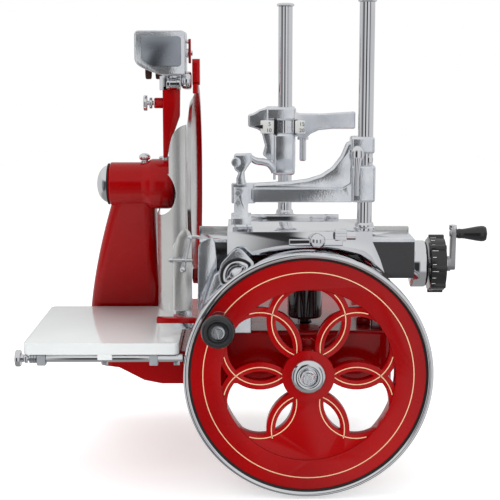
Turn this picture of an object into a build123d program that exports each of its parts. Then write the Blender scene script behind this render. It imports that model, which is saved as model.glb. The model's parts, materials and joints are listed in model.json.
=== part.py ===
"""Hand-cranked flywheel deli slicer: enamelled base and blade column, spoked flywheel,
bevel gears and chain to the blade, and a reciprocating carriage with a screw-fed meat table.

Frame: millimetres, +Z up, X along the feed (the blade is at -X), Y away from the operator.
The origin is the centre of the four mounting holes, on the underside of the base.
"""

import os
from math import cos, radians, sin

from build123d import *

os.makedirs("parts", exist_ok=True)

# Base
BASE_H = 90
BASE_LEFT, BASE_RIGHT = -213, 175
BASE_FRONT, BASE_BACK = -170, 275
SHELF_LEFT, SHELF_TOP, SHELF_UNDER = -372, 56, 30
STEP_X = -160
WALL = 10
COVER_Z, COVER_T = 2, 4
MOUNT_DX, MOUNT_DY, MOUNT_HOLE_R = 300, 300, 5.5
BOSS_TOP, REAR_WEB_Y, BUSH_R, PIVOT_R = 46, 198, 12, 10

# Flywheel
WHEEL_X, WHEEL_Z, WHEEL_FACE = 30, 28, -230
RIM_R, FACE_R = 205, 194
WHEEL_T, RIB_T, RIM_BACK = 30, 18, -194
SPOKE_C, SPOKE_IN, SPOKE_OUT = 91.4, 53.8, 68.7
FELLOE_IN, HUB_R = 143, 43
FILL_X, FILL_Z = 107, 119
GRIP_ANGLE, GRIP_C, GRIP_R = 147.5, 172.6, 27
SHAFT_R = 8
FIT = 0.05

# Gearing below the base top
CRANK_Y, CRANK_C = 130, 115
CROSS_Y = 175
BEVEL_BIG, BEVEL_SMALL, MESH_GAP = 18, 10, 0.6
PINION_R, PINION_Y = 17.4, 76
RING_IN, RING_OUT, RING_Z, DISC_Z, DISC_TOP = 42, 54, 46, 52, 60
CHAIN_X, CHAIN_HALF = -262, 4
DRIVE_SPROCKET_R, BLADE_SPROCKET_R, CHAIN_T = 17, 12, 4
LINK_Z, LINK_T, LINK_PIN_Y = 61, 8, -95

# Blade, column and hub
BLADE_X, BLADE_Y, BLADE_Z, BLADE_R = -164, 25, 318, 159.5
HUB_LEFT, HUB_RIGHT, HUB_OUT_R = -318, -230, 39
BLADE_SHAFT_R = 10
GUARD_IN, GUARD_OUT, GUARD_X, GUARD_T = 163, 180, -166, 9
COLUMN_RIGHT, BEARING_R, OIL_CUP_X = -236, 17, -254

# Carriage
SLAB_TOP, SLAB_T = 243, 6
CAR_LEFT, CAR_RIGHT = -150, 211
CAR_FRONT, CAR_BACK = -147, -42
CAR_BOTTOM = 176
ROD_X, GUIDE_Z, GUIDE_R, ROD_FRONT, ROD_REAR = -85, 188, 14, -190, 262
SLEEVE_R = 24
RAIL_X, RAIL_TOP, ROLLER_R, ROLLER_Z = 150, 146, 13, 159.3
SCREW_Y, SCREW_Z, SCREW_R, FEED_CRANK_R = -100, 193, 8, 52
SLOT_HALF = 9

# Meat table, columns and arms
TABLE_LEFT, TABLE_RIGHT = -103, 137
TABLE_FRONT, TABLE_BACK = -175, -14
TABLE_TOP, TABLE_T = 259, 5
POST_R, POST_BOTTOM, POST_TOP = 12.5, 245, 632
NEAR_POST, FAR_POST = (125, -155), (-2, 15)
HINGE_X, HINGE_Z, NEAR_LEVER_X, NEAR_LEVER_Z = -80, 316, 110, 387

# Slice tray
TRAY_LEFT, TRAY_RIGHT = -438, -182
TRAY_FRONT, TRAY_BACK = -215, 86
TRAY_TOP, TRAY_T = 80, 19

# Sharpener
SHARP_LEFT, SHARP_RIGHT, SHARP_Z, SHARP_TOP = -267, -178, 512, 590
POST_X = -218
DEFLECTOR_BOTTOM, DEFLECTOR_TOP = 112, 434
DEFLECTOR_PIVOT, DEFLECTOR_PIN_R = (-171, -150), 2


def facing_y(x, y, z):
    """Plane seen by the operator: local x is +X, local y is +Z, extrusion runs towards -Y."""
    return Plane(origin=(x, y, z), x_dir=(1, 0, 0), z_dir=(0, -1, 0))


def facing_x(x, y, z):
    """Plane across the feed: local x is +Y, local y is +Z, extrusion runs towards +X."""
    return Plane(origin=(x, y, z), x_dir=(0, 1, 0), z_dir=(1, 0, 0))


def along_x(x, y, z):
    """Profile plane of a turned piece on an X axis: local x is the radius, local y is +X."""
    return Plane(origin=(x, y, z), x_dir=(0, 0, 1), z_dir=(0, 1, 0))


def along_y(x, y, z):
    """Profile plane of a turned piece on a Y axis: local x is the radius, local y is +Y."""
    return Plane(origin=(x, y, z), x_dir=(0, 0, 1), z_dir=(-1, 0, 0))


def along_z(x, y, z):
    """Profile plane of a turned piece on a Z axis: local x is the radius, local y is +Z."""
    return Plane(origin=(x, y, z), x_dir=(1, 0, 0), z_dir=(0, -1, 0))


def turn(plane, *profile, mode=Mode.ADD):
    """Revolve a closed (radius, distance) outline into the part that is being built."""
    with BuildSketch(plane) as section:
        with BuildLine():
            Polyline(*profile, close=True)
        make_face()
    revolve(section.sketch, axis=Axis(plane.origin, plane.y_dir), mode=mode)


def tube(plane, outer, inner, start, end, mode=Mode.ADD):
    """A plain ring or bush from start to end along the plane's turning axis."""
    turn(plane, (inner, start), (outer, start), (outer, end), (inner, end), mode=mode)


def bar(plane, radius, start, end, chamfer_size=0.8):
    """A round bar with small chamfers on both ends."""
    c = chamfer_size
    turn(plane, (0, start), (radius - c, start), (radius, start + c),
         (radius, end - c), (radius - c, end), (0, end))


def block(x0, x1, y0, y1, z0, z1, mode=Mode.ADD):
    """A rectangular block given by its six faces."""
    with BuildSketch(Plane.XY.offset(z0)) as plan:
        with Locations(((x0 + x1) / 2, (y0 + y1) / 2)):
            Rectangle(x1 - x0, y1 - y0)
    extrude(plan.sketch, amount=z1 - z0, mode=mode)


def save(builder, name):
    """Label one finished piece and write it as its own node."""
    builder.part.label = name
    export_step(builder.part, f"parts/{name}.step")


# ---------------------------------------------------------------- base

with BuildPart() as base_casting:
    # Plan of the base: a block with a wider shelf on the left for the column
    with BuildSketch(Plane.XY):
        with BuildLine():
            Polyline((BASE_RIGHT, BASE_FRONT), (BASE_RIGHT, BASE_BACK), (SHELF_LEFT, BASE_BACK),
                     (SHELF_LEFT, 95), (-318, 60), (-318, BASE_FRONT), close=True)
        make_face()
    extrude(amount=BASE_H)
    fillet(base_casting.edges().filter_by(Axis.Z), radius=22)
    # The left shelf is thinner above and its underside sweeps up from the foot
    with BuildSketch(facing_y(0, BASE_BACK + 1, 0)):
        with BuildLine():
            Polyline((SHELF_LEFT - 5, SHELF_TOP), (STEP_X, SHELF_TOP), (STEP_X, BASE_H + 1),
                     (SHELF_LEFT - 5, BASE_H + 1), close=True)
        make_face()
        with BuildLine():
            Polyline((SHELF_LEFT - 5, -1), (BASE_LEFT, -1), (BASE_LEFT, 0), (-243, 6),
                     (-285, SHELF_UNDER - 2), (-300, SHELF_UNDER), (SHELF_LEFT - 5, SHELF_UNDER),
                     close=True)
        make_face()
    extrude(amount=BASE_BACK - BASE_FRONT + 2, mode=Mode.SUBTRACT)
    deck = base_casting.faces().filter_by(Axis.Z).sort_by(Axis.Z)[-1]
    fillet(deck.edges(), radius=7)
    # Foot under the column, around the sprocket well
    block(CHAIN_X - 28, BASE_LEFT + 4, CROSS_Y - 42, CROSS_Y + 42, 0, SHELF_TOP - 1)
    # Cavity for the gears, with solid corners that take the mounting bolts
    with BuildSketch(Plane.XY):
        with Locations(((STEP_X + BASE_RIGHT) / 2, (BASE_FRONT + BASE_BACK) / 2)):
            RectangleRounded(BASE_RIGHT - STEP_X - 2 * WALL, BASE_BACK - BASE_FRONT - 2 * WALL, 18)
    extrude(amount=BASE_H - 8, mode=Mode.SUBTRACT)
    with BuildSketch(Plane.XY):
        with GridLocations(MOUNT_DX, MOUNT_DY, 2, 2):
            Rectangle(34, 30)
    extrude(amount=BOSS_TOP)
    # Webs and the side bridge that carry the shafts and the crank pivot
    block(WHEEL_X - 16, WHEEL_X + 16, REAR_WEB_Y, BASE_BACK - WALL + 1, 8, 48)
    block(STEP_X + WALL - 1, STEP_X + WALL + 20, CROSS_Y - 20, CROSS_Y + 20, 8, 50)
    block(WHEEL_X - 14, BASE_RIGHT - WALL + 1, CRANK_Y - 12, CRANK_Y + 12, 38, 44)
    block(WHEEL_X + RING_OUT + 4, BASE_RIGHT - WALL + 1, CRANK_Y - 12, CRANK_Y + 12, 12, 39)
    with BuildSketch(Plane.XY.offset(43)):
        with Locations((WHEEL_X, CRANK_Y)):
            Circle(PIVOT_R)
    extrude(amount=DISC_TOP - 44)
    # Boss for the flywheel shaft, and the bores for the shaft bushes
    with BuildSketch(facing_y(WHEEL_X, BASE_FRONT + 1, WHEEL_Z)):
        Circle(25)
    extrude(amount=15)
    with BuildSketch(facing_y(WHEEL_X, BASE_FRONT + WALL + 2, WHEEL_Z)):
        Circle(BUSH_R)
    extrude(amount=WALL + 30, mode=Mode.SUBTRACT)
    with BuildSketch(facing_y(WHEEL_X, REAR_WEB_Y + 24, WHEEL_Z)):
        Circle(BUSH_R)
    extrude(amount=30, mode=Mode.SUBTRACT)
    # Tunnel for the cross shaft and the sprocket well under the column
    with BuildSketch(facing_x(CHAIN_X - 23, CROSS_Y, WHEEL_Z)):
        Circle(BUSH_R)
    extrude(amount=STEP_X + WALL + 54 - CHAIN_X, mode=Mode.SUBTRACT)
    block(CHAIN_X - 13, CHAIN_X + 13, CROSS_Y - 46, CROSS_Y + 26, 4, SHELF_TOP + 1, Mode.SUBTRACT)
    # Slot in the top for the pin that joins the connecting rod to the carriage
    with BuildSketch(Plane.XY.offset(BASE_H + 1)):
        with Locations((WHEEL_X, LINK_PIN_Y + CRANK_C)):
            SlotOverall(2 * CRANK_C + 34, 24, rotation=90)
    extrude(amount=-12, mode=Mode.SUBTRACT)
    with BuildSketch(Plane.XY):
        with GridLocations(MOUNT_DX, MOUNT_DY, 2, 2):
            Circle(MOUNT_HOLE_R)
    extrude(amount=BOSS_TOP - 6, mode=Mode.SUBTRACT)
save(base_casting, "base_casting")

with BuildPart() as base_cover:
    with BuildSketch(Plane.XY.offset(COVER_Z)):
        with Locations(((STEP_X + BASE_RIGHT) / 2, (BASE_FRONT + BASE_BACK) / 2)):
            RectangleRounded(BASE_RIGHT - STEP_X - 2 * WALL - 0.4,
                             BASE_BACK - BASE_FRONT - 2 * WALL - 0.4, 17.8)
        with GridLocations(MOUNT_DX, MOUNT_DY, 2, 2):
            Rectangle(35, 31, mode=Mode.SUBTRACT)
    extrude(amount=COVER_T)
save(base_cover, "base_cover")

with BuildPart() as shaft_bushes:
    tube(along_y(WHEEL_X, 0, WHEEL_Z), BUSH_R, SHAFT_R + FIT, BASE_FRONT - 14, BASE_FRONT + WALL)
    tube(along_y(WHEEL_X, 0, WHEEL_Z), BUSH_R, SHAFT_R + FIT, REAR_WEB_Y, REAR_WEB_Y + 20)
    tube(along_x(0, CROSS_Y, WHEEL_Z), BUSH_R, SHAFT_R + FIT, STEP_X + 4, STEP_X + WALL + 20)
    tube(along_x(0, CROSS_Y, WHEEL_Z), BUSH_R, SHAFT_R + FIT, CHAIN_X + 14, CHAIN_X + 34)
save(shaft_bushes, "shaft_bushes")

# ---------------------------------------------------------------- blade column and fixed frame

with BuildPart() as blade_column:
    for z, x_left, y_mid, y_wide in ((SHELF_TOP, -370, 161, 116), (150, -352, 108, 104),
                                     (300, -309, 36, 74)):
        with BuildSketch(Plane.XY.offset(z)):
            with Locations(((x_left + COLUMN_RIGHT) / 2, y_mid)):
                RectangleRounded(COLUMN_RIGHT - x_left, y_wide, 20)
    loft()
    turn(along_x(0, BLADE_Y, BLADE_Z), (0, HUB_LEFT), (HUB_OUT_R - 4, HUB_LEFT),
         (HUB_OUT_R, HUB_LEFT + 4), (HUB_OUT_R, HUB_RIGHT), (0, HUB_RIGHT))
    with BuildSketch(facing_x(CHAIN_X - 11, 0, 0)):
        with Locations((CROSS_Y, WHEEL_Z)):
            Circle(DRIVE_SPROCKET_R + CHAIN_T + 3)
        with Locations((BLADE_Y, BLADE_Z)):
            Circle(BLADE_SPROCKET_R + CHAIN_T + 5)
        make_hull()
    extrude(amount=22, mode=Mode.SUBTRACT)
    with BuildSketch(facing_x(HUB_LEFT + 14, BLADE_Y, BLADE_Z)):
        Circle(BEARING_R)
    extrude(amount=HUB_RIGHT - HUB_LEFT, mode=Mode.SUBTRACT)
    # Flat for the oil cup
    with BuildSketch(Plane.XY.offset(BLADE_Z + HUB_OUT_R - 1)):
        with Locations((OIL_CUP_X, BLADE_Y)):
            Circle(7)
    extrude(amount=4, mode=Mode.SUBTRACT)
save(blade_column, "blade_column")

with BuildPart() as blade_bearings:
    for start in (HUB_LEFT + 16, HUB_RIGHT - 17):
        tube(along_x(0, BLADE_Y, BLADE_Z), BEARING_R, BLADE_SHAFT_R + FIT, start, start + 15)
save(blade_bearings, "blade_bearings")

with BuildPart() as hub_cap:
    turn(along_x(HUB_LEFT, BLADE_Y, BLADE_Z), (0, 0), (33, 0), (33, -3), (31, -9), (26, -15),
         (18, -19), (9, -21.5), (0, -22.5))
save(hub_cap, "hub_cap")

with BuildPart() as oil_cup:
    turn(along_z(OIL_CUP_X, BLADE_Y, BLADE_Z + HUB_OUT_R - 1), (0, 0), (6, 0), (6, 4), (9.5, 6),
         (10.5, 10), (9, 14), (5, 17), (0, 17.5))
save(oil_cup, "oil_cup")

with BuildPart() as blade_guard:
    with BuildSketch(facing_x(GUARD_X, BLADE_Y, BLADE_Z)):
        Circle(GUARD_OUT)
        Circle(GUARD_IN, mode=Mode.SUBTRACT)
        with BuildLine():
            Polyline((0, 0), (-230, -400), (-230, 240), (-22, 240), close=True)
        make_face(mode=Mode.SUBTRACT)
    extrude(amount=GUARD_T)
    # Lug on the top of the ring, and the stay that ties the ring to the hub
    with BuildSketch(facing_x(GUARD_X - 1, BLADE_Y, BLADE_Z + GUARD_OUT - 2)):
        with Locations((4, 22)):
            RectangleRounded(30, 46, 8)
    extrude(amount=GUARD_T + 4)
    with BuildSketch(facing_x(HUB_RIGHT, BLADE_Y, BLADE_Z)):
        with Locations(((GUARD_IN + 48) / 2, 0)):
            SlotOverall(GUARD_IN - 4, 26)
        with Locations((GUARD_IN + 8, 0)):
            Circle(12)
        Circle(BEARING_R + 2, mode=Mode.SUBTRACT)
    extrude(amount=7)
    with BuildSketch(facing_x(HUB_RIGHT, BLADE_Y + GUARD_IN + 8, BLADE_Z)):
        Circle(7)
    extrude(amount=GUARD_X - HUB_RIGHT + 1)
save(blade_guard, "blade_guard")

with BuildPart() as guide_rod:
    bar(along_y(ROD_X, 0, GUIDE_Z), GUIDE_R, ROD_FRONT, ROD_REAR, 1.5)
save(guide_rod, "guide_rod")

with BuildPart() as rod_standards:
    for y in (ROD_FRONT + 4, ROD_REAR - 26):
        with BuildSketch(facing_y(0, y + 22, 0)):
            with Locations((ROD_X, GUIDE_Z)):
                Circle(23)
            with BuildLine():
                Polyline((ROD_X - 6, GUIDE_Z + 22), (ROD_X + 22, GUIDE_Z - 6), (ROD_X + 22, BASE_H),
                         (ROD_X - 68, BASE_H), (ROD_X - 68, BASE_H + 14), (ROD_X - 40, GUIDE_Z),
                         close=True)
            make_face()
            with Locations((ROD_X, GUIDE_Z)):
                Circle(GUIDE_R, mode=Mode.SUBTRACT)
        extrude(amount=22)
save(rod_standards, "rod_standards")

with BuildPart() as side_rail:
    block(RAIL_X - 9, RAIL_X + 9, BASE_FRONT + 14, BASE_BACK - 14, RAIL_TOP - 12, RAIL_TOP)
    for y in (BASE_FRONT + 26, BASE_BACK - 26):
        block(RAIL_X - 9, RAIL_X + 9, y - 11, y + 11, BASE_H, RAIL_TOP - 11)
save(side_rail, "side_rail")

with BuildPart() as tray_rods:
    bar(along_x(0, TRAY_FRONT + 10, 53), 6.5, TRAY_LEFT + 8, -176, 1)
    bar(along_x(0, BASE_FRONT - 12, 47), 3.5, -304, -180, 0.6)
    for x in (-304, -186):
        block(x - 5, x + 5, TRAY_FRONT + 5, BASE_FRONT, 42, 55)
    turn(along_x(TRAY_LEFT + 8, TRAY_FRONT + 10, 53), (0, 0), (4, 0), (4, -12), (13, -13),
         (14, -15), (14, -20), (12, -22), (0, -22))
save(tray_rods, "tray_rods")

with BuildPart() as tray_clips:
    for x in (-409, -224):
        with BuildSketch(facing_x(x - 7, TRAY_FRONT + 10, 53)):
            with Locations((0, -2)):
                RectangleRounded(20, 19, 5)
            Circle(6.5, mode=Mode.SUBTRACT)
        extrude(amount=14)
save(tray_clips, "tray_clips")

with BuildPart() as lower_guard:
    with BuildSketch(facing_y(0, -152.4, 0)):
        with BuildLine():
            Polyline((-194, 96), (-163, 96), (-163, 205), (-168, 236), (-176, 250), (-184, 250),
                     (-194, 232), close=True)
        make_face()
    extrude(amount=3)
    block(-194, -140, -155.4, -141, BASE_H, 97)
    with BuildSketch(Plane.XY.offset(BASE_H - 1)):
        with Locations(DEFLECTOR_PIVOT):
            Circle(DEFLECTOR_PIN_R)
    extrude(amount=9, mode=Mode.SUBTRACT)
save(lower_guard, "lower_guard")

with BuildPart() as sharpener_post:
    turn(along_z(POST_X, BLADE_Y, 0), (0, 338), (11, 338), (11, 346), (7, 350), (7, 356),
         (9, 360), (9, 372), (0, 372))
    with BuildSketch(Plane.XY.offset(371)):
        with Locations((POST_X, BLADE_Y)):
            Rectangle(14, 16)
    with BuildSketch(Plane.XY.offset(486)):
        with Locations((POST_X + 8, BLADE_Y)):
            Rectangle(30, 26)
    loft()
    with BuildSketch(facing_x(HUB_RIGHT, BLADE_Y, BLADE_Z)):
        with Locations((0, 30)):
            Rectangle(20, 16)
    extrude(amount=14)
save(sharpener_post, "sharpener_post")

with BuildPart() as sharpener_bracket:
    block(POST_X - 7, SHARP_RIGHT - 10, BLADE_Y - 12, BLADE_Y + 12, 486, SHARP_Z)
    with BuildSketch(facing_x(POST_X - 8, BLADE_Y, 463)):
        Circle(9)
    extrude(amount=-10)
    turn(along_x(POST_X - 16, BLADE_Y, 463), (0, 0), (4, 0), (4, -5), (10, -5), (10, -10),
         (4, -10), (4, -14), (14, -14), (14, -20), (0, -20))
save(sharpener_bracket, "sharpener_bracket")

with BuildPart() as drive_chain:
    with BuildSketch(facing_x(CHAIN_X - CHAIN_HALF, 0, 0)):
        with Locations((CROSS_Y, WHEEL_Z)):
            Circle(DRIVE_SPROCKET_R + CHAIN_T + 0.4)
        with Locations((BLADE_Y, BLADE_Z)):
            Circle(BLADE_SPROCKET_R + CHAIN_T + 0.4)
        make_hull()
        offset(amount=-CHAIN_T, mode=Mode.SUBTRACT)
    extrude(amount=2 * CHAIN_HALF)
save(drive_chain, "drive_chain")

# ---------------------------------------------------------------- flywheel body

with BuildSketch() as spoke_ring:
    Circle(SPOKE_OUT)
    Circle(SPOKE_IN, mode=Mode.SUBTRACT)

with BuildPart() as flywheel:
    with BuildSketch(facing_y(WHEEL_X, WHEEL_FACE + WHEEL_T, WHEEL_Z)):
        Circle(FACE_R - 0.5)
        Circle(FELLOE_IN, mode=Mode.SUBTRACT)
        Circle(HUB_R)
    extrude(amount=WHEEL_T)
    with BuildSketch(facing_y(WHEEL_X, WHEEL_FACE + 3 + RIB_T, WHEEL_Z)):
        # Solid web below the hub, left open inside the two rings beside it
        with BuildLine():
            Polyline((0, 0), (-FILL_X, -FILL_Z), (0, -FELLOE_IN - WHEEL_T / 2), (FILL_X, -FILL_Z),
                     close=True)
        make_face()
        with PolarLocations(SPOKE_C, 2, start_angle=210, angular_range=240):
            Circle(SPOKE_IN, mode=Mode.SUBTRACT)
        with PolarLocations(SPOKE_C, 6, start_angle=30):
            add(spoke_ring.sketch)
    extrude(amount=RIB_T)
    face_edges = flywheel.faces().sort_by(Axis.Y)[0].edges()
    fillet(face_edges, radius=2)
    with BuildSketch(facing_y(WHEEL_X, WHEEL_FACE + WHEEL_T + 1, WHEEL_Z)):
        Circle(SHAFT_R)
    extrude(amount=WHEEL_T + 2, mode=Mode.SUBTRACT)
save(flywheel, "flywheel")

with BuildPart() as wheel_rim:
    turn(along_y(WHEEL_X, 0, WHEEL_Z), (FACE_R - 0.5, WHEEL_FACE - 2), (FACE_R + 2, WHEEL_FACE - 5),
         (RIM_R - 2, WHEEL_FACE - 4), (RIM_R, WHEEL_FACE), (RIM_R, RIM_BACK - 3),
         (RIM_R - 2, RIM_BACK), (FACE_R - 0.5, RIM_BACK))
save(wheel_rim, "wheel_rim")

with BuildPart() as hub_washer:
    turn(along_y(WHEEL_X, WHEEL_FACE, WHEEL_Z), (SHAFT_R, 0), (28, 0), (28, -2), (25, -5),
         (20, -4), (17, -6), (15, -8), (SHAFT_R, -8))
save(hub_washer, "hub_washer")

with BuildPart() as hub_bolt:
    with BuildSketch(facing_y(WHEEL_X, WHEEL_FACE - 8, WHEEL_Z)):
        RegularPolygon(radius=12, side_count=6)
    extrude(amount=6)
    with BuildSketch(facing_y(WHEEL_X, WHEEL_FACE - 14, WHEEL_Z)):
        Circle(9)
    extrude(amount=4)
    with BuildSketch(facing_y(WHEEL_X, WHEEL_FACE - 18, WHEEL_Z)):
        Rectangle(20, 2.4)
    extrude(amount=-2, mode=Mode.SUBTRACT)
save(hub_bolt, "hub_bolt")

with BuildPart() as main_shaft:
    bar(along_y(WHEEL_X, 0, WHEEL_Z), SHAFT_R, WHEEL_FACE - 8, REAR_WEB_Y + 16)
save(main_shaft, "main_shaft")

with BuildPart() as drive_pinions:
    with BuildSketch(facing_y(WHEEL_X, PINION_Y + 12, WHEEL_Z)):
        Circle(PINION_R)
        with PolarLocations(PINION_R, 16):
            Circle(1.5, mode=Mode.SUBTRACT)
        Circle(SHAFT_R, mode=Mode.SUBTRACT)
    extrude(amount=12)
    turn(along_y(WHEEL_X, CROSS_Y, WHEEL_Z), (SHAFT_R, -BEVEL_BIG - 7), (14, -BEVEL_BIG - 7),
         (14, -BEVEL_BIG - 2), (BEVEL_BIG - MESH_GAP, -BEVEL_BIG),
         (BEVEL_SMALL - MESH_GAP, -BEVEL_SMALL), (SHAFT_R, -BEVEL_SMALL))
save(drive_pinions, "drive_pinions")

grip_x = WHEEL_X + GRIP_C * cos(radians(GRIP_ANGLE))
grip_z = WHEEL_Z + GRIP_C * sin(radians(GRIP_ANGLE))

with BuildPart() as grip_stud:
    turn(along_y(grip_x, WHEEL_FACE, grip_z), (0, 0), (16, 0), (16, -4), (5, -4),
         (5, -88), (9, -88), (9, -92), (0, -92))
save(grip_stud, "grip_stud")

with BuildPart() as crank_grip:
    turn(along_y(grip_x, WHEEL_FACE, grip_z), (5 + FIT, -5), (15, -5), (18, -10), (20, -40),
         (26, -66), (GRIP_R, -76), (25, -84), (20, -86), (12, -83), (10, -83), (10, -87.6),
         (5 + FIT, -87.6))
save(crank_grip, "crank_grip")

# ---------------------------------------------------------------- crank, connecting rod, cross shaft

with BuildPart() as crank_wheel:
    tube(along_z(WHEEL_X, CRANK_Y, 0), RING_OUT, RING_IN, RING_Z, DISC_Z + 1)
    tube(along_z(WHEEL_X, CRANK_Y, 0), RING_OUT, PIVOT_R + FIT, DISC_Z, DISC_TOP)
    with BuildSketch(Plane.XY.offset(DISC_Z)):
        with Locations((WHEEL_X, CRANK_Y - (CRANK_C + 30) / 2)):
            SlotOverall(CRANK_C - 2, 26, rotation=90)
    extrude(amount=DISC_TOP - DISC_Z)
    with BuildSketch(Plane.XY.offset(RING_Z)):
        with Locations((WHEEL_X, CRANK_Y)):
            with PolarLocations((RING_IN + RING_OUT) / 2, 44):
                Rectangle(RING_OUT - RING_IN + 2, 2.4)
    extrude(amount=2, mode=Mode.SUBTRACT)
    bar(along_z(WHEEL_X, CRANK_Y - CRANK_C, 0), 7, DISC_TOP - 1, LINK_Z + LINK_T + 1.5)
save(crank_wheel, "crank_wheel")

with BuildPart() as connecting_rod:
    rear, front = CRANK_Y - CRANK_C, LINK_PIN_Y
    with BuildSketch(Plane.XY.offset(LINK_Z)):
        with Locations((WHEEL_X, (rear + front) / 2)):
            Rectangle(12, rear - front)
        with Locations((WHEEL_X, rear), (WHEEL_X, front)):
            Circle(12)
            Circle(7 + FIT, mode=Mode.SUBTRACT)
    extrude(amount=LINK_T)
save(connecting_rod, "connecting_rod")

with BuildPart() as cross_shaft:
    bar(along_x(0, CROSS_Y, WHEEL_Z), SHAFT_R, CHAIN_X - 9, WHEEL_X - BEVEL_SMALL - 1)
save(cross_shaft, "cross_shaft")

with BuildPart() as cross_bevel:
    turn(along_x(WHEEL_X, CROSS_Y, WHEEL_Z), (SHAFT_R, -BEVEL_BIG - 9), (14, -BEVEL_BIG - 9),
         (14, -BEVEL_BIG - 2), (BEVEL_BIG - MESH_GAP, -BEVEL_BIG),
         (BEVEL_SMALL - MESH_GAP, -BEVEL_SMALL), (SHAFT_R, -BEVEL_SMALL))
save(cross_bevel, "cross_bevel")


def sprocket(centre_y, centre_z, radius, bore):
    """A plain-sided sprocket in the chain plane, its rim notched once per roller."""
    with BuildSketch(facing_x(CHAIN_X - CHAIN_HALF + 1, centre_y, centre_z)) as wheel:
        Circle(radius)
        with PolarLocations(radius, round(radius * 0.9)):
            Circle(1.6, mode=Mode.SUBTRACT)
        Circle(bore, mode=Mode.SUBTRACT)
    extrude(wheel.sketch, amount=2 * CHAIN_HALF - 2)


with BuildPart() as drive_sprocket:
    sprocket(CROSS_Y, WHEEL_Z, DRIVE_SPROCKET_R, SHAFT_R)
save(drive_sprocket, "drive_sprocket")

# ---------------------------------------------------------------- blade body

with BuildPart() as blade_shaft:
    bar(along_x(0, BLADE_Y, BLADE_Z), BLADE_SHAFT_R, HUB_LEFT + 16, BLADE_X - 20)
    with BuildSketch(facing_x(BLADE_X - 30, BLADE_Y, BLADE_Z)):
        Circle(42)
    extrude(amount=10)
save(blade_shaft, "blade_shaft")

with BuildPart() as blade_sprocket:
    sprocket(BLADE_Y, BLADE_Z, BLADE_SPROCKET_R, BLADE_SHAFT_R)
save(blade_sprocket, "blade_sprocket")

with BuildPart() as blade:
    turn(along_x(BLADE_X, BLADE_Y, BLADE_Z), (12, -20), (62, -20), (140, -8), (148, -7),
         (BLADE_R, -0.4), (BLADE_R, 0), (146, -1.5), (62, -16), (12, -16))
save(blade, "blade")

with BuildPart() as blade_flange:
    turn(along_x(BLADE_X, BLADE_Y, BLADE_Z), (0, -16), (52, -16), (50, -12), (40, -10), (0, -9))
save(blade_flange, "blade_flange")

# ---------------------------------------------------------------- carriage body

with BuildPart() as carriage_body:
    block(CAR_LEFT, CAR_RIGHT, CAR_FRONT, CAR_BACK, CAR_BOTTOM, SLAB_TOP - SLAB_T)
    block(CAR_LEFT + 7, CAR_RIGHT - 7, CAR_FRONT + 7, CAR_BACK - 7, CAR_BOTTOM + 7, SLAB_TOP,
          Mode.SUBTRACT)
    with BuildSketch(facing_y(ROD_X, CAR_BACK + 1, GUIDE_Z)):
        Circle(SLEEVE_R)
    extrude(amount=CAR_BACK - CAR_FRONT + 2, mode=Mode.SUBTRACT)
    with BuildSketch(facing_x(CAR_RIGHT - 9, SCREW_Y, SCREW_Z)):
        Circle(SCREW_R + 1)
    extrude(amount=12, mode=Mode.SUBTRACT)
    block(-58, -46, SCREW_Y - 16, SCREW_Y + 16, CAR_BOTTOM + 5, SCREW_Z + 14)
    with BuildSketch(facing_x(-59, SCREW_Y, SCREW_Z)):
        Circle(SCREW_R - 2 + FIT)
    extrude(amount=16, mode=Mode.SUBTRACT)
    block(RAIL_X + 11, RAIL_X + 17, LINK_PIN_Y - 10, LINK_PIN_Y + 10, RAIL_TOP + 4, CAR_BOTTOM + 1)
    with BuildSketch(facing_x(RAIL_X + 10, LINK_PIN_Y, ROLLER_Z)):
        Circle(4)
    extrude(amount=8, mode=Mode.SUBTRACT)
save(carriage_body, "carriage_body")

with BuildPart() as carriage_top:
    block(CAR_LEFT, CAR_RIGHT, CAR_FRONT, CAR_BACK, SLAB_TOP - SLAB_T, SLAB_TOP)
    with BuildSketch(Plane.XY.offset(SLAB_TOP + 1)):
        with Locations((40, SCREW_Y)):
            SlotOverall(220, 2 * SLOT_HALF)
    extrude(amount=-SLAB_T - 2, mode=Mode.SUBTRACT)
save(carriage_top, "carriage_top")

with BuildPart() as back_rail:
    block(CAR_LEFT - 4, CAR_RIGHT + 4, CAR_BACK, CAR_BACK + 12, SLAB_TOP - 14, SLAB_TOP + 6)
save(back_rail, "back_rail")

with BuildPart() as guide_sleeve:
    tube(along_y(ROD_X, 0, GUIDE_Z), SLEEVE_R, GUIDE_R + FIT, CAR_FRONT - 4, CAR_BACK + 4)
    tube(along_y(ROD_X, 0, GUIDE_Z), SLEEVE_R + 6, GUIDE_R + FIT, CAR_FRONT - 12, CAR_FRONT)
save(guide_sleeve, "guide_sleeve")

with BuildPart() as drive_block:
    turn(along_z(WHEEL_X, LINK_PIN_Y, 0), (0, CAR_BOTTOM), (30, CAR_BOTTOM), (30, 104), (28, 100),
         (9, 100), (9, LINK_Z + LINK_T + 4), (0, LINK_Z + LINK_T + 4))
save(drive_block, "drive_block")

with BuildPart() as roller_pin:
    bar(along_x(0, LINK_PIN_Y, ROLLER_Z), 4, RAIL_X - 10, RAIL_X + 18, 0.5)
save(roller_pin, "roller_pin")

with BuildPart() as carriage_roller:
    tube(along_x(0, LINK_PIN_Y, ROLLER_Z), ROLLER_R, 4 + FIT, RAIL_X - 7, RAIL_X + 7)
save(carriage_roller, "carriage_roller")

with BuildPart() as feed_housing:
    turn(along_x(CAR_RIGHT, SCREW_Y, SCREW_Z), (SCREW_R + FIT, 0), (40, 0), (40, 22), (37, 26),
         (SCREW_R + FIT, 26))
save(feed_housing, "feed_housing")

# ---------------------------------------------------------------- feed screw, dial and crank

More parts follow.
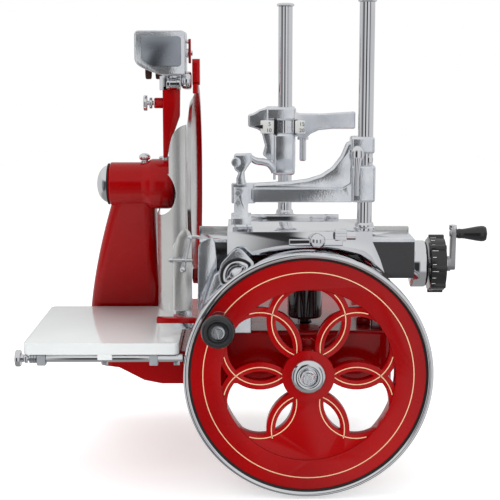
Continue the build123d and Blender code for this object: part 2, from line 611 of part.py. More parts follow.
with BuildPart() as lead_screw:
    turn(along_x(0, SCREW_Y, SCREW_Z), (0, -60), (SCREW_R - 2, -60), (SCREW_R - 2, -45),
         (SCREW_R, -44), (SCREW_R, CAR_RIGHT + 67), (0, CAR_RIGHT + 67))
save(lead_screw, "lead_screw")

with BuildPart() as feed_dial:
    with BuildSketch(facing_x(CAR_RIGHT + 30, SCREW_Y, SCREW_Z)):
        Circle(46)
        with PolarLocations(45, 8):
            Circle(5.5)
        Circle(SCREW_R, mode=Mode.SUBTRACT)
    extrude(amount=26)
    chamfer(feed_dial.faces().sort_by(Axis.X)[-1].edges().group_by(Edge.length)[-1], length=2)
save(feed_dial, "feed_dial")

with BuildPart() as feed_crank:
    tube(along_x(0, SCREW_Y, SCREW_Z), 13, SCREW_R, CAR_RIGHT + 56.5, CAR_RIGHT + 68)
    with BuildSketch(facing_x(CAR_RIGHT + 68, SCREW_Y, SCREW_Z)):
        with Locations((0, FEED_CRANK_R / 2)):
            SlotOverall(FEED_CRANK_R + 22, 18, rotation=90)
    extrude(amount=8)
    bar(along_x(0, SCREW_Y, SCREW_Z + FEED_CRANK_R), 5, CAR_RIGHT + 66, CAR_RIGHT + 130, 0.6)
save(feed_crank, "feed_crank")

with BuildPart() as feed_handle:
    turn(along_x(CAR_RIGHT, SCREW_Y, SCREW_Z + FEED_CRANK_R), (5 + FIT, 77), (7, 77), (9, 82),
         (9, 90), (13, 112), (13.5, 122), (11, 128), (5 + FIT, 129))
save(feed_handle, "feed_handle")

# ---------------------------------------------------------------- meat table body

with BuildPart() as meat_table:
    block(TABLE_LEFT, TABLE_RIGHT, TABLE_FRONT, TABLE_BACK, TABLE_TOP - TABLE_T, TABLE_TOP)
    for y in (CAR_FRONT + 8, CAR_BACK - 16):
        block(TABLE_LEFT, TABLE_RIGHT, y, y + 8, SLAB_TOP + 0.4, TABLE_TOP - TABLE_T + 1)
    # Apron in front of the carriage, swept down to the right
    with BuildSketch(facing_y(0, TABLE_FRONT + 3, 0)):
        with BuildLine():
            Polyline((TABLE_LEFT, TABLE_TOP), (TABLE_LEFT, 220), (118, 220), (134, 196),
                     (158, 190), (150, 214), (TABLE_RIGHT, TABLE_TOP - 16), (TABLE_RIGHT, TABLE_TOP),
                     close=True)
        make_face()
    extrude(amount=3)
    block(-22, 18, TABLE_BACK - 2, FAR_POST[1] + 16, POST_BOTTOM - 1, TABLE_TOP)
    block(NEAR_POST[0] - 15, NEAR_POST[0] + 12, TABLE_FRONT, NEAR_POST[1] + 15, POST_BOTTOM - 1, TABLE_TOP)
    # Fence along the far edge
    block(TABLE_LEFT + 34, TABLE_RIGHT - 44, TABLE_BACK - 5, TABLE_BACK, TABLE_TOP, TABLE_TOP + 9)
    with BuildSketch(Plane.XY.offset(TABLE_TOP + 1)):
        with Locations(NEAR_POST, FAR_POST):
            Circle(POST_R)
    extrude(amount=POST_BOTTOM - TABLE_TOP - 1, mode=Mode.SUBTRACT)
save(meat_table, "meat_table")

with BuildPart() as meat_columns:
    for x, y in (NEAR_POST, FAR_POST):
        bar(along_z(x, y, 0), POST_R, POST_BOTTOM, POST_TOP, 1)
save(meat_columns, "meat_columns")

with BuildPart() as column_caps:
    for x, y in (NEAR_POST, FAR_POST):
        turn(along_z(x, y, POST_TOP), (0, 0), (15.5, 0), (15.5, 4), (13, 6), (0, 6))
        tube(along_z(x, y, 0), 18, POST_R, TABLE_TOP, TABLE_TOP + 14)
save(column_caps, "column_caps")

with BuildPart() as feed_nut:
    block(54, 78, SCREW_Y - SLOT_HALF + 0.5, SCREW_Y + SLOT_HALF - 0.5, SCREW_Z + 9, TABLE_TOP - TABLE_T)
    block(54, 78, SCREW_Y - 14, SCREW_Y + 14, SCREW_Z - 8.2, SCREW_Z + 14)
    with BuildSketch(facing_x(53, SCREW_Y, SCREW_Z)):
        Circle(SCREW_R + FIT)
    extrude(amount=26, mode=Mode.SUBTRACT)
save(feed_nut, "feed_nut")

# ---------------------------------------------------------------- meat clamp arms

with BuildPart() as near_arm:
    with BuildSketch(facing_y(0, NEAR_POST[1] + 9, 0)):
        with BuildLine():
            Polyline((-56, 300), (140, 300), (140, 361), (118, 366), (112, 409), (101, 407))
            Spline((101, 407), (93, 382), (77, 363), (45, 344), (0, 335), (-56, 332))
            Line((-56, 332), (-56, 300))
        make_face()
    extrude(amount=18)
    for bottom, top in ((300, 361), (383, 409)):
        with BuildSketch(Plane.XY.offset(bottom)):
            with Locations(NEAR_POST):
                Circle(20)
        extrude(amount=top - bottom)
    block(NEAR_LEVER_X - 9, NEAR_LEVER_X + 9, NEAR_POST[1] - 19.7, NEAR_POST[1] - 9, 384, 398)
    with BuildSketch(Plane.XY.offset(290)):
        with Locations(NEAR_POST):
            Circle(POST_R + FIT)
    extrude(amount=130, mode=Mode.SUBTRACT)
    block(HINGE_X - 14, -55, NEAR_POST[1] - 5, NEAR_POST[1] + 5, 304, 330)
    with BuildSketch(facing_y(HINGE_X, NEAR_POST[1] + 8, HINGE_Z)):
        Circle(4)
    extrude(amount=16, mode=Mode.SUBTRACT)
save(near_arm, "near_arm")

with BuildPart() as gripper:
    for side in (-1, 1):
        inner, outer = sorted((NEAR_POST[1] + side * 5.5, NEAR_POST[1] + side * 11))
        block(HINGE_X - 12, HINGE_X + 12, inner, outer, HINGE_Z - 18, HINGE_Z + 16)
        block(HINGE_X - 12, HINGE_X + 12, inner, outer, HINGE_Z - 32, HINGE_Z - 17)
    block(HINGE_X - 12, HINGE_X + 12, NEAR_POST[1] - 11, NEAR_POST[1] + 11, HINGE_Z - 36, HINGE_Z - 26)
    block(HINGE_X - 17, HINGE_X + 17, NEAR_POST[1] - 14, NEAR_POST[1] + 66, HINGE_Z - 46, HINGE_Z - 36)
    bar(along_y(HINGE_X, 0, HINGE_Z), 4 - FIT, NEAR_POST[1] - 14, NEAR_POST[1] + 14, 0.5)
    for row in range(5):
        with BuildSketch(Plane.XY.offset(HINGE_Z - 46)) as spikes:
            with Locations((HINGE_X, NEAR_POST[1] + 14 * row)):
                with Locations((-10, 0), (10, 0)):
                    Circle(2)
        extrude(spikes.sketch, amount=-6, taper=14)
save(gripper, "gripper")

with BuildPart() as arm_lever:
    turn(along_y(NEAR_LEVER_X, NEAR_POST[1] - 20, NEAR_LEVER_Z), (0, 0), (10, 0), (10, -6), (7, -9),
         (0, -9))
    with BuildSketch(facing_y(NEAR_LEVER_X, NEAR_POST[1] - 23, NEAR_LEVER_Z)):
        with BuildLine():
            Polyline((-8, -2), (-4, -44), (4, -44), (8, -2), close=True)
        make_face()
    extrude(amount=5)
    bar(along_z(NEAR_LEVER_X, NEAR_POST[1] - 26, 0), 4, NEAR_LEVER_Z - 68, NEAR_LEVER_Z - 38)
save(arm_lever, "arm_lever")

with BuildPart() as far_arm:
    with BuildSketch(Plane.XY.offset(429)):
        with Locations(FAR_POST):
            Circle(21)
        with BuildLine():
            Polyline((-40, 4), (-40, 26), (16, 26), (16, 28), (40, 22), (118, -42), (112, -52),
                     (36, 6), (16, 3), close=True)
        make_face()
    extrude(amount=16)
    with BuildSketch(Plane.XY.offset(332)):
        with Locations(FAR_POST):
            Circle(20)
    extrude(amount=74)
    block(-20, -12, -5, 35, 332, 430)
    with BuildSketch(Plane.XY.offset(320)):
        with Locations(FAR_POST):
            Circle(POST_R + FIT)
    extrude(amount=140, mode=Mode.SUBTRACT)
    with BuildSketch(Plane.XY.offset(428)):
        with Locations((30, FAR_POST[1])):
            Circle(4 + FIT)
    extrude(amount=20, mode=Mode.SUBTRACT)
save(far_arm, "far_arm")

with BuildPart() as arm_clamp_screw:
    turn(along_z(30, FAR_POST[1], 0), (0, 360), (6, 362), (6, 398), (10, 398), (10, 404), (4, 404),
         (4, 444), (0, 444))
save(arm_clamp_screw, "arm_clamp_screw")

# ---------------------------------------------------------------- sharpener, deflector and tray

with BuildPart() as sharpener_cover:
    block(SHARP_LEFT, SHARP_RIGHT, BLADE_Y - 38, BLADE_Y + 38, SHARP_Z + 0.5, SHARP_TOP)
    fillet(sharpener_cover.edges().filter_by(Axis.Y).group_by(Axis.Z)[-1], radius=9)
    fillet(sharpener_cover.faces().sort_by(Axis.Z)[-1].edges(), radius=4)
    block(SHARP_LEFT + 3, SHARP_RIGHT - 3, BLADE_Y - 35, BLADE_Y + 35, SHARP_Z, SHARP_TOP - 12,
          Mode.SUBTRACT)
save(sharpener_cover, "sharpener_cover")

with BuildPart() as sharpener_stones:
    turn(along_x(SHARP_RIGHT, BLADE_Y, 494), (0, -9.5), (5, -9.5), (5, -7), (12, -7), (16, -4),
         (16, 8), (13, 10.5), (0, 10.5))
    for x in (SHARP_LEFT + 18, SHARP_LEFT + 36):
        with BuildSketch(facing_x(x - 5, BLADE_Y, SHARP_Z + 9)):
            Circle(16)
        extrude(amount=11)
save(sharpener_stones, "sharpener_stones")

with BuildPart() as sharpener_lever:
    turn(along_x(SHARP_RIGHT, BLADE_Y, 551), (0, 0.5), (8, 0.5), (8, 5), (5, 5), (5, 10), (0, 10))
    with BuildSketch(facing_x(SHARP_RIGHT + 5.5, BLADE_Y, 551)):
        with Locations((0, 4)):
            SlotOverall(46, 11, rotation=90)
    extrude(amount=4)
save(sharpener_lever, "sharpener_lever")

with BuildPart() as slice_deflector:
    with BuildSketch(Plane.XY.offset(DEFLECTOR_BOTTOM)):
        with BuildLine():
            outer = Spline((-171, -150), (-196, -138), (-216, -108), (-226, -60), (-228, 10))
            inner = Spline((-226, 10), (-224, -60), (-214.3, -107), (-194.8, -136.4), (-170, -148.4))
            Line(outer @ 1, inner @ 0)
            Line(inner @ 1, outer @ 0)
        make_face()
    extrude(amount=DEFLECTOR_TOP - DEFLECTOR_BOTTOM)
    # The upper edge sweeps up to the front, and a round notch clears the hub
    with BuildSketch(facing_y(0, 20, 0)):
        with Locations((HUB_RIGHT - 2, BLADE_Z)):
            Circle(HUB_OUT_R + 4)
        with BuildLine():
            Spline((-201, 350), (-200, 389), (-188, 424), (-168, DEFLECTOR_TOP))
            Polyline((-168, DEFLECTOR_TOP), (-168, 470), (-260, 470), (-260, 350), (-201, 350))
        make_face()
    extrude(amount=200, mode=Mode.SUBTRACT)
    # Pin on the front edge that turns in the lower guard's foot
    bar(along_z(*DEFLECTOR_PIVOT, 0), DEFLECTOR_PIN_R - FIT, BASE_H + 1, 190, 0.4)
save(slice_deflector, "slice_deflector")

with BuildPart() as slice_tray:
    block(TRAY_LEFT, TRAY_RIGHT, TRAY_FRONT, TRAY_BACK, TRAY_TOP - TRAY_T, TRAY_TOP)
    fillet(slice_tray.edges().filter_by(Axis.Z), radius=10)
    block(TRAY_LEFT + 5, TRAY_RIGHT - 5, TRAY_FRONT + 5, TRAY_BACK - 5, TRAY_TOP - TRAY_T - 1,
          TRAY_TOP - 3, Mode.SUBTRACT)
save(slice_tray, "slice_tray")
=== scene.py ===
"""Looks for the hand-cranked deli slicer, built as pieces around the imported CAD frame.

Lengths are written in millimetres in the frame of the part and turned into metres once per piece.
"""

import json
from math import acos, cos, pi, radians, sin

import bmesh
import bpy
from bpy.props import FloatProperty, FloatVectorProperty, IntProperty, PointerProperty
from mathutils import Matrix, Vector


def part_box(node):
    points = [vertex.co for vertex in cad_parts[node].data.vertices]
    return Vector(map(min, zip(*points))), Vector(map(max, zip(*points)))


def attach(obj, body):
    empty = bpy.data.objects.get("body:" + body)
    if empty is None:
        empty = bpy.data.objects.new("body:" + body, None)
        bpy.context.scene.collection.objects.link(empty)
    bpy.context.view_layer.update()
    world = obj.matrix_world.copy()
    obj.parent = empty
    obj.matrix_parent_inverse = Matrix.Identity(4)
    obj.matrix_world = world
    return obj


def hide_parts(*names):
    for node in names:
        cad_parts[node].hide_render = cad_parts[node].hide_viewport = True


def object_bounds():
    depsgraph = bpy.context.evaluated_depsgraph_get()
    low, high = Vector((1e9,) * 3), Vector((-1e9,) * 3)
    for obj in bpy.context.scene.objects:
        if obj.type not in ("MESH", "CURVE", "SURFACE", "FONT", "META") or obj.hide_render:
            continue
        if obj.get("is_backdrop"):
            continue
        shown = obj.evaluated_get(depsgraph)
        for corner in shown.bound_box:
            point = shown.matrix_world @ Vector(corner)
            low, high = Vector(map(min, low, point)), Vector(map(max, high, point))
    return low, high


bl_info = {
    "name": "Deli Slicer Pieces",
    "version": (1, 0, 0),
    "blender": (4, 5, 0),
    "location": "View3D > Sidebar > Slicer",
    "description": "Builds the finished pieces of a flywheel deli slicer around its CAD frame",
    "category": "Add Mesh",
}

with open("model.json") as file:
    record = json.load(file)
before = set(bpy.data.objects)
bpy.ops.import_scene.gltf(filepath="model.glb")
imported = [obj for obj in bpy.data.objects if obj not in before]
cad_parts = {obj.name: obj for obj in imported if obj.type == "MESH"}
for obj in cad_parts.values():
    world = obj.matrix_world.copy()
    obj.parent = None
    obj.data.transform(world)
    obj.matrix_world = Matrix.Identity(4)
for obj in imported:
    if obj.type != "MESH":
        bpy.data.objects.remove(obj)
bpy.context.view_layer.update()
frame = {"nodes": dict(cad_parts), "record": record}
SLOT_OF = {row["node"]: row["material_slot"] for row in frame["record"]["subparts"]}
BODY_OF = {node: body for body, members in frame["record"]["behaviour"]["bodies"].items()
           for node in members}

MM = 0.001
WHEEL = Vector((30, -230, 28))
SPOKE_CENTRE, SPOKE_STRIPE = 91.4, 60.3
FELLOE_STRIPE, FELLOE_INNER, HUB_EDGE, WEB_STRIPE_END = 172.6, 141.5, 41.0, 121.0
BASE_SCREW_LEFT = -126
BLADE = Vector((-164, 25, 318))
GUIDE = Vector((-85, -186, 188))
SCREW = Vector((211, -100, 193))
NEAR_POST = Vector((125, -155, 0))
FAR_POST = Vector((-2, 15, 0))
WORLD_STRENGTH, FLOOR_GLOW = 0.7, 0.42
CAMERA_PLACE = (-0.0727, -2.1111, 0.5374)
CAMERA_DOWN, CAMERA_TURN, CAMERA_LENS = 9.06, -0.22, 85.4
LAMP_TARGET = (0.05, -0.05, 0.2)
LAMPS = (
    # name, place, target, width and height in metres, then watts
    ("key", (-1.6, -1.7, 2.3), LAMP_TARGET, 1.6, 1.6, 20),
    ("fill", (2.0, -1.3, 1.4), LAMP_TARGET, 1.2, 1.8, 8),
    ("top", (0.0, 0.4, 2.6), (0, 0.1, 0.1), 2.0, 1.6, 22),
    ("strip", (-0.55, -2.6, 1.2), (0, -0.1, 0.15), 0.35, 1.6, 6),
)
WELD, CAD_WELD = 0.002, 0.004
AXES = {
    "X": (Vector((1, 0, 0)), Vector((0, 0, 1))),
    "Y": (Vector((0, 1, 0)), Vector((0, 0, 1))),
    "Z": (Vector((0, 0, 1)), Vector((1, 0, 0))),
}


# ---------------------------------------------------------------- settings

class SlicerSizes(bpy.types.PropertyGroup):
    """Sizes of the finishing details."""

    stripe_width: FloatProperty(name="Stripe width", description="Width of the painted pinstripes",
                                default=1.5, min=0.3, max=4)
    casting_edge: FloatProperty(name="Casting edge", description="Edge rounding on the castings",
                                default=1.8, min=0.2, max=5)
    machined_edge: FloatProperty(name="Machined edge",
                                 description="Edge rounding on machined and polished parts",
                                 default=0.8, min=0.1, max=3)
    knurl_teeth: IntProperty(name="Knurl teeth", description="Teeth round each knurled knob",
                             default=30, min=8, max=80)


class SlicerColours(bpy.types.PropertyGroup):
    """Colours of the finishes."""

    red: FloatVectorProperty(name="Enamel red", description="Red enamel of the castings",
                             subtype="COLOR", default=(0.37, 0.0, 0.001), min=0, max=1)
    deep_red: FloatVectorProperty(name="Deep red", description="Darker tone in the red enamel",
                                  subtype="COLOR", default=(0.27, 0.0, 0.001), min=0, max=1)
    cream: FloatVectorProperty(name="Stripe cream", description="Pinstripe paint",
                               subtype="COLOR", default=(0.92, 0.62, 0.36), min=0, max=1)
    white: FloatVectorProperty(name="White enamel", description="Enamel of the tray",
                               subtype="COLOR", default=(0.80, 0.83, 0.83), min=0, max=1)


# ---------------------------------------------------------------- shared shader groups

def new_group(name, inputs, outputs):
    """A shader node group with named sockets; returns it with its input and output nodes."""
    group = bpy.data.node_groups.new(name, "ShaderNodeTree")
    for label, kind, value in inputs:
        socket = group.interface.new_socket(name=label, in_out="INPUT", socket_type=kind)
        if value is not None:
            socket.default_value = value
    for label, kind in outputs:
        group.interface.new_socket(name=label, in_out="OUTPUT", socket_type=kind)
    return group, group.nodes.new("NodeGroupInput"), group.nodes.new("NodeGroupOutput")


def wire(tree, *pairs):
    """Link each (output, input) pair of sockets."""
    for source, target in pairs:
        tree.links.new(source, target)


def math_node(tree, kind, operation):
    """A math node of the given kind, set to one operation."""
    node = tree.nodes.new(kind)
    node.operation = operation
    return node


def build_patina_group():
    """Soft patches from 0 to 1 that vary colour or gloss over a surface."""
    group, given, result = new_group("patina", [
        ("Vector", "NodeSocketVector", None), ("Scale", "NodeSocketFloat", 20.0),
        ("Detail", "NodeSocketFloat", 4.0), ("Low", "NodeSocketFloat", 0.0),
        ("High", "NodeSocketFloat", 1.0)
    ], [("Value", "NodeSocketFloat")])
    noise = group.nodes.new("ShaderNodeTexNoise")
    spread = group.nodes.new("ShaderNodeMapRange")
    spread.inputs["From Min"].default_value = 0.32
    spread.inputs["From Max"].default_value = 0.68
    for label in ("Vector", "Scale", "Detail"):
        group.links.new(given.outputs[label], noise.inputs[label])
    wire(group,
         (noise.outputs["Fac"], spread.inputs["Value"]),
         (given.outputs["Low"], spread.inputs["To Min"]),
         (given.outputs["High"], spread.inputs["To Max"]),
         (spread.outputs["Result"], result.inputs["Value"]))
    return group


def build_grain_group():
    """Fine surface height: grain stretched along the part plus a slow waviness."""
    group, given, result = new_group("surface_grain", [
        ("Vector", "NodeSocketVector", None), ("Stretch", "NodeSocketVector", (1, 1, 1)),
        ("Scale", "NodeSocketFloat", 400.0), ("Wave Scale", "NodeSocketFloat", 30.0),
        ("Wave", "NodeSocketFloat", 0.5)
    ], [("Height", "NodeSocketFloat")])
    stretched = math_node(group, "ShaderNodeVectorMath", "MULTIPLY")
    fine = group.nodes.new("ShaderNodeTexNoise")
    slow = group.nodes.new("ShaderNodeTexNoise")
    slow.inputs["Detail"].default_value = 1.0
    amount = math_node(group, "ShaderNodeMath", "MULTIPLY")
    total = math_node(group, "ShaderNodeMath", "ADD")
    wire(group,
         (given.outputs["Vector"], stretched.inputs[0]),
         (given.outputs["Stretch"], stretched.inputs[1]),
         (stretched.outputs["Vector"], fine.inputs["Vector"]),
         (given.outputs["Scale"], fine.inputs["Scale"]),
         (given.outputs["Vector"], slow.inputs["Vector"]),
         (given.outputs["Wave Scale"], slow.inputs["Scale"]),
         (slow.outputs["Fac"], amount.inputs[0]),
         (given.outputs["Wave"], amount.inputs[1]),
         (fine.outputs["Fac"], total.inputs[0]),
         (amount.outputs["Value"], total.inputs[1]),
         (total.outputs["Value"], result.inputs["Height"]))
    return group


def build_turned_group():
    """Height of the fine rings that a lathe leaves round an X axis through Centre."""
    group, given, result = new_group("turned_rings", [
        ("Vector", "NodeSocketVector", None), ("Centre", "NodeSocketVector", (0, 0, 0)),
        ("Pitch", "NodeSocketFloat", 4000.0)
    ], [("Height", "NodeSocketFloat")])
    offset = math_node(group, "ShaderNodeVectorMath", "SUBTRACT")
    flat = math_node(group, "ShaderNodeVectorMath", "MULTIPLY")
    flat.inputs[1].default_value = (0, 1, 1)
    length = math_node(group, "ShaderNodeVectorMath", "LENGTH")
    noise = group.nodes.new("ShaderNodeTexNoise")
    noise.noise_dimensions = "1D"
    noise.inputs["Detail"].default_value = 6.0
    wire(group,
         (given.outputs["Vector"], offset.inputs[0]),
         (given.outputs["Centre"], offset.inputs[1]),
         (offset.outputs["Vector"], flat.inputs[0]),
         (flat.outputs["Vector"], length.inputs[0]),
         (length.outputs["Value"], noise.inputs["W"]),
         (given.outputs["Pitch"], noise.inputs["Scale"]),
         (noise.outputs["Fac"], result.inputs["Height"]))
    return group


# ---------------------------------------------------------------- materials

GROUPS = {}
MATERIALS = {}


def add_group_node(tree, name, **values):
    """Place a shared group in a material tree with its own values."""
    node = tree.nodes.new("ShaderNodeGroup")
    node.node_tree = GROUPS[name]
    for label, value in values.items():
        node.inputs[label.replace("_", " ")].default_value = value
    return node


def finish(name, light, dark, metallic=0.0, gloss=(0.1, 0.2), gloss_scale=18.0, tone_scale=9.0,
           grain_scale=500.0, stretch=(1, 1, 1), wave_scale=25.0, wave=0.6, bump=0.03,
           coat=0.0, coat_roughness=0.03, rings=None, specular=0.5):
    """One procedural finish: mottled colour, uneven gloss and fine relief."""
    material = bpy.data.materials.new(name)
    material.use_nodes = True
    tree = material.node_tree
    shader = tree.nodes["Principled BSDF"]
    place = tree.nodes.new("ShaderNodeTexCoord").outputs["Object"]
    tone = add_group_node(tree, "patina", Scale=tone_scale, Detail=5.0, Low=0.0, High=1.0)
    mix = tree.nodes.new("ShaderNodeMix")
    mix.data_type = "RGBA"
    mix.inputs["A"].default_value = (*light, 1)
    mix.inputs["B"].default_value = (*dark, 1)
    rough = add_group_node(tree, "patina", Scale=gloss_scale, Detail=6.0, Low=gloss[0],
                           High=gloss[1])
    relief = tree.nodes.new("ShaderNodeBump")
    relief.inputs["Strength"].default_value = 1.0
    relief.inputs["Distance"].default_value = bump * MM
    if rings:
        height = add_group_node(tree, "turned_rings", Centre=rings, Pitch=2200.0)
    else:
        height = add_group_node(tree, "surface_grain", Stretch=stretch, Scale=grain_scale,
                                Wave_Scale=wave_scale, Wave=wave)
    for node in (tone, rough, height):
        tree.links.new(place, node.inputs["Vector"])
    tree.links.new(tone.outputs["Value"], mix.inputs["Factor"])
    tree.links.new(mix.outputs["Result"], shader.inputs["Base Color"])
    tree.links.new(rough.outputs["Value"], shader.inputs["Roughness"])
    tree.links.new(height.outputs["Height"], relief.inputs["Height"])
    tree.links.new(relief.outputs["Normal"], shader.inputs["Normal"])
    shader.inputs["Metallic"].default_value = metallic
    shader.inputs["Coat Weight"].default_value = coat
    shader.inputs["Coat Roughness"].default_value = coat_roughness
    shader.inputs["Specular IOR Level"].default_value = specular
    MATERIALS[name] = material
    return material


def build_materials():
    """Every finish on the machine, named as the record's slots where one matches."""
    GROUPS["patina"] = build_patina_group()
    GROUPS["surface_grain"] = build_grain_group()
    GROUPS["turned_rings"] = build_turned_group()
    colours = bpy.context.scene.slicer_colours
    finish("red_enamel", colours.red, colours.deep_red, gloss=(0.22, 0.32), tone_scale=5.0,
           grain_scale=260.0, wave_scale=22.0, wave=1.2, bump=0.05, coat=0.42, specular=0.08)
    finish("chrome", (0.88, 0.89, 0.91), (0.80, 0.81, 0.84), 1.0, gloss=(0.03, 0.09),
           grain_scale=900.0, wave_scale=40.0, wave=0.6, bump=0.006)
    finish("polished_alloy", (0.88, 0.90, 0.93), (0.74, 0.78, 0.84), 0.88, gloss=(0.07, 0.17),
           gloss_scale=60.0, tone_scale=30.0, grain_scale=420.0, wave_scale=48.0, wave=1.6,
           bump=0.10)
    finish("stainless", (0.74, 0.74, 0.73), (0.64, 0.64, 0.63), 0.78, gloss=(0.14, 0.24),
           grain_scale=700.0, stretch=(1.0, 1.0, 0.03), wave_scale=14.0, wave=0.4, bump=0.02)
    finish("blade_steel", (0.80, 0.80, 0.80), (0.66, 0.66, 0.67), 1.0, gloss=(0.12, 0.22),
           bump=0.02, rings=BLADE * MM)
    finish("steel", (0.50, 0.50, 0.51), (0.34, 0.34, 0.36), 1.0, gloss=(0.25, 0.42),
           grain_scale=600.0, wave=0.3, bump=0.03)
    finish("bronze", (0.62, 0.42, 0.19), (0.42, 0.26, 0.10), 1.0, gloss=(0.25, 0.40), bump=0.03)
    finish("black_enamel", (0.012, 0.012, 0.014), (0.004, 0.004, 0.005), gloss=(0.08, 0.18),
           grain_scale=260.0, wave=1.0, bump=0.03, coat=0.9)
    finish("black_plastic", (0.016, 0.016, 0.018), (0.007, 0.007, 0.008), gloss=(0.14, 0.26),
           grain_scale=800.0, bump=0.02, coat=0.4, coat_roughness=0.08)
    finish("grey_nylon", (0.34, 0.36, 0.38), (0.24, 0.26, 0.28), gloss=(0.35, 0.5),
           grain_scale=900.0, bump=0.05)
    finish("white_enamel", colours.white, [0.93 * value for value in colours.white],
           gloss=(0.12, 0.22), wave=1.0, bump=0.03, coat=0.8)
    finish("grinding_stone", (0.055, 0.018, 0.014), (0.025, 0.008, 0.006), gloss=(0.7, 0.9),
           tone_scale=300.0, grain_scale=1500.0, wave_scale=200.0, bump=0.25, specular=0.25)
    # Painted dark reflection: a darker, bluish copy of the stainless for the recessed sharpener
    # panel.
    finish("shaded_steel", (0.42, 0.45, 0.50), (0.34, 0.37, 0.42), 1.0, gloss=(0.20, 0.30),
           grain_scale=700.0, wave=0.5, bump=0.03)
    finish("stripe_paint", colours.cream, [0.85 * value for value in colours.cream],
           gloss=(0.25, 0.35), bump=0.01)
    finish("mark_paint", (0.82, 0.83, 0.80), (0.70, 0.71, 0.69), gloss=(0.35, 0.5), bump=0.01)
    # Near black: the real colour of the felt ring and the scale figures, and painted shade on the
    # rings in the seams at the wheel rim and the hub dome.
    finish("near_black_and_seam_shade", (0.010, 0.010, 0.011), (0.004, 0.004, 0.004), gloss=(0.4, 0.6), bump=0.02)


# ---------------------------------------------------------------- mesh helpers, in millimetres

def turned(bm, axis, origin, profile, steps=64, closed=False):
    """Spin a (radius, distance) outline right round an axis through origin."""
    along, out = AXES[axis]
    centre = Vector(origin)
    verts = [bm.verts.new(centre + along * d + out * r) for r, d in profile]
    edges = [bm.edges.new(pair) for pair in zip(verts, verts[1:])]
    if closed:
        edges.append(bm.edges.new((verts[-1], verts[0])))
    bmesh.ops.spin(bm, geom=verts + edges, cent=centre, axis=along, dvec=(0, 0, 0),
                   angle=2 * pi, steps=steps, use_merge=True, use_duplicate=False)


def sharp_edges(faces, angle):
    """Edges of these faces that turn by more than angle degrees."""
    found = set()
    for face in faces:
        for edge in face.edges:
            if len(edge.link_faces) == 2 and edge.calc_face_angle(0) > radians(angle):
                found.add(edge)
    return list(found)


def round_edges(bm, faces, width, segments=2, angle=28):
    """Bevel the sharp edges of these faces."""
    edges = sharp_edges(faces, angle)
    if edges and width > 0:
        bmesh.ops.bevel(bm, geom=edges, offset=width, offset_type="OFFSET", segments=segments,
                        profile=0.5, affect="EDGES", clamp_overlap=True, material=-1)


def rounded_box(bm, x, y, z, width=1.0, segments=2):
    """A block between three (low, high) pairs with rounded edges."""
    size = Matrix.Diagonal((x[1] - x[0], y[1] - y[0], z[1] - z[0], 1))
    centre = Matrix.Translation(((x[0] + x[1]) / 2, (y[0] + y[1]) / 2, (z[0] + z[1]) / 2))
    made = bmesh.ops.create_cube(bm, size=1, matrix=centre @ size)["verts"]
    round_edges(bm, {f for v in made for f in v.link_faces}, width, segments)


def plate(bm, outline, across, start, end, width=1.0, segments=2, corner=0.0):
    """Extrude an outline along an axis from start to end and round its rims.

    The outline's two numbers lie on the other two axes, in the order X, Y, Z.
    """
    index = "XYZ".index(across)

    def spot(a, b):
        point = [a, b]
        point.insert(index, start)
        return Vector(point)

    verts = [bm.verts.new(spot(a, b)) for a, b in outline]
    edges = [bm.edges.new(pair) for pair in zip(verts, verts[1:] + verts[:1])]
    if corner > 0:
        made = bmesh.ops.bevel(bm, geom=verts, offset=corner, offset_type="OFFSET", segments=4,
                               profile=0.5, affect="VERTICES", clamp_overlap=True, material=-1)
        edges = list({e for v in made["verts"] for e in v.link_edges})
    face = bmesh.ops.contextual_create(bm, geom=edges)["faces"]
    shift = Vector((0, 0, 0))
    shift[index] = end - start
    top = bmesh.ops.extrude_face_region(bm, geom=face)["geom"]
    moved = [v for v in top if isinstance(v, bmesh.types.BMVert)]
    bmesh.ops.translate(bm, vec=shift, verts=moved)
    faces = {f for v in moved for f in v.link_faces} | set(face)
    bmesh.ops.recalc_face_normals(bm, faces=list(faces))
    round_edges(bm, faces, width, segments, 40)
    return moved


def ball(bm, centre, radius, squash=(1, 1, 1)):
    """A smooth ball, or an egg when squashed."""
    place = Matrix.Translation(centre) @ Matrix.Diagonal((*squash, 1))
    bmesh.ops.create_uvsphere(bm, u_segments=32, v_segments=18, radius=radius, matrix=place)


def add_curve(bm, curve, place=None):
    """Add a curve's solid to the mesh, moved by the place matrix, and discard the curve."""
    holder = bpy.data.objects.new(curve.name, curve)
    bpy.context.scene.collection.objects.link(holder)
    bpy.context.view_layer.update()
    mesh = bpy.data.meshes.new_from_object(holder)
    if place:
        mesh.transform(place)
    bm.from_mesh(mesh)
    bpy.data.objects.remove(holder)
    bpy.data.meshes.remove(mesh)
    bpy.data.curves.remove(curve)


def rod(bm, points, radius, taper=None, order=3):
    """A smooth rod along a few points; taper scales the radius at each point."""
    curve = bpy.data.curves.new("rod", "CURVE")
    curve.dimensions = "3D"
    curve.bevel_depth = radius
    curve.bevel_resolution = 5
    curve.use_fill_caps = True
    curve.resolution_u = 10
    line = curve.splines.new("NURBS")
    line.points.add(len(points) - 1)
    scales = taper or [1] * len(points)
    for point, place, scale in zip(line.points, points, scales):
        point.co = (*place, 1)
        point.radius = scale
    line.order_u = min(order, len(points))
    line.use_endpoint_u = True
    add_curve(bm, curve)


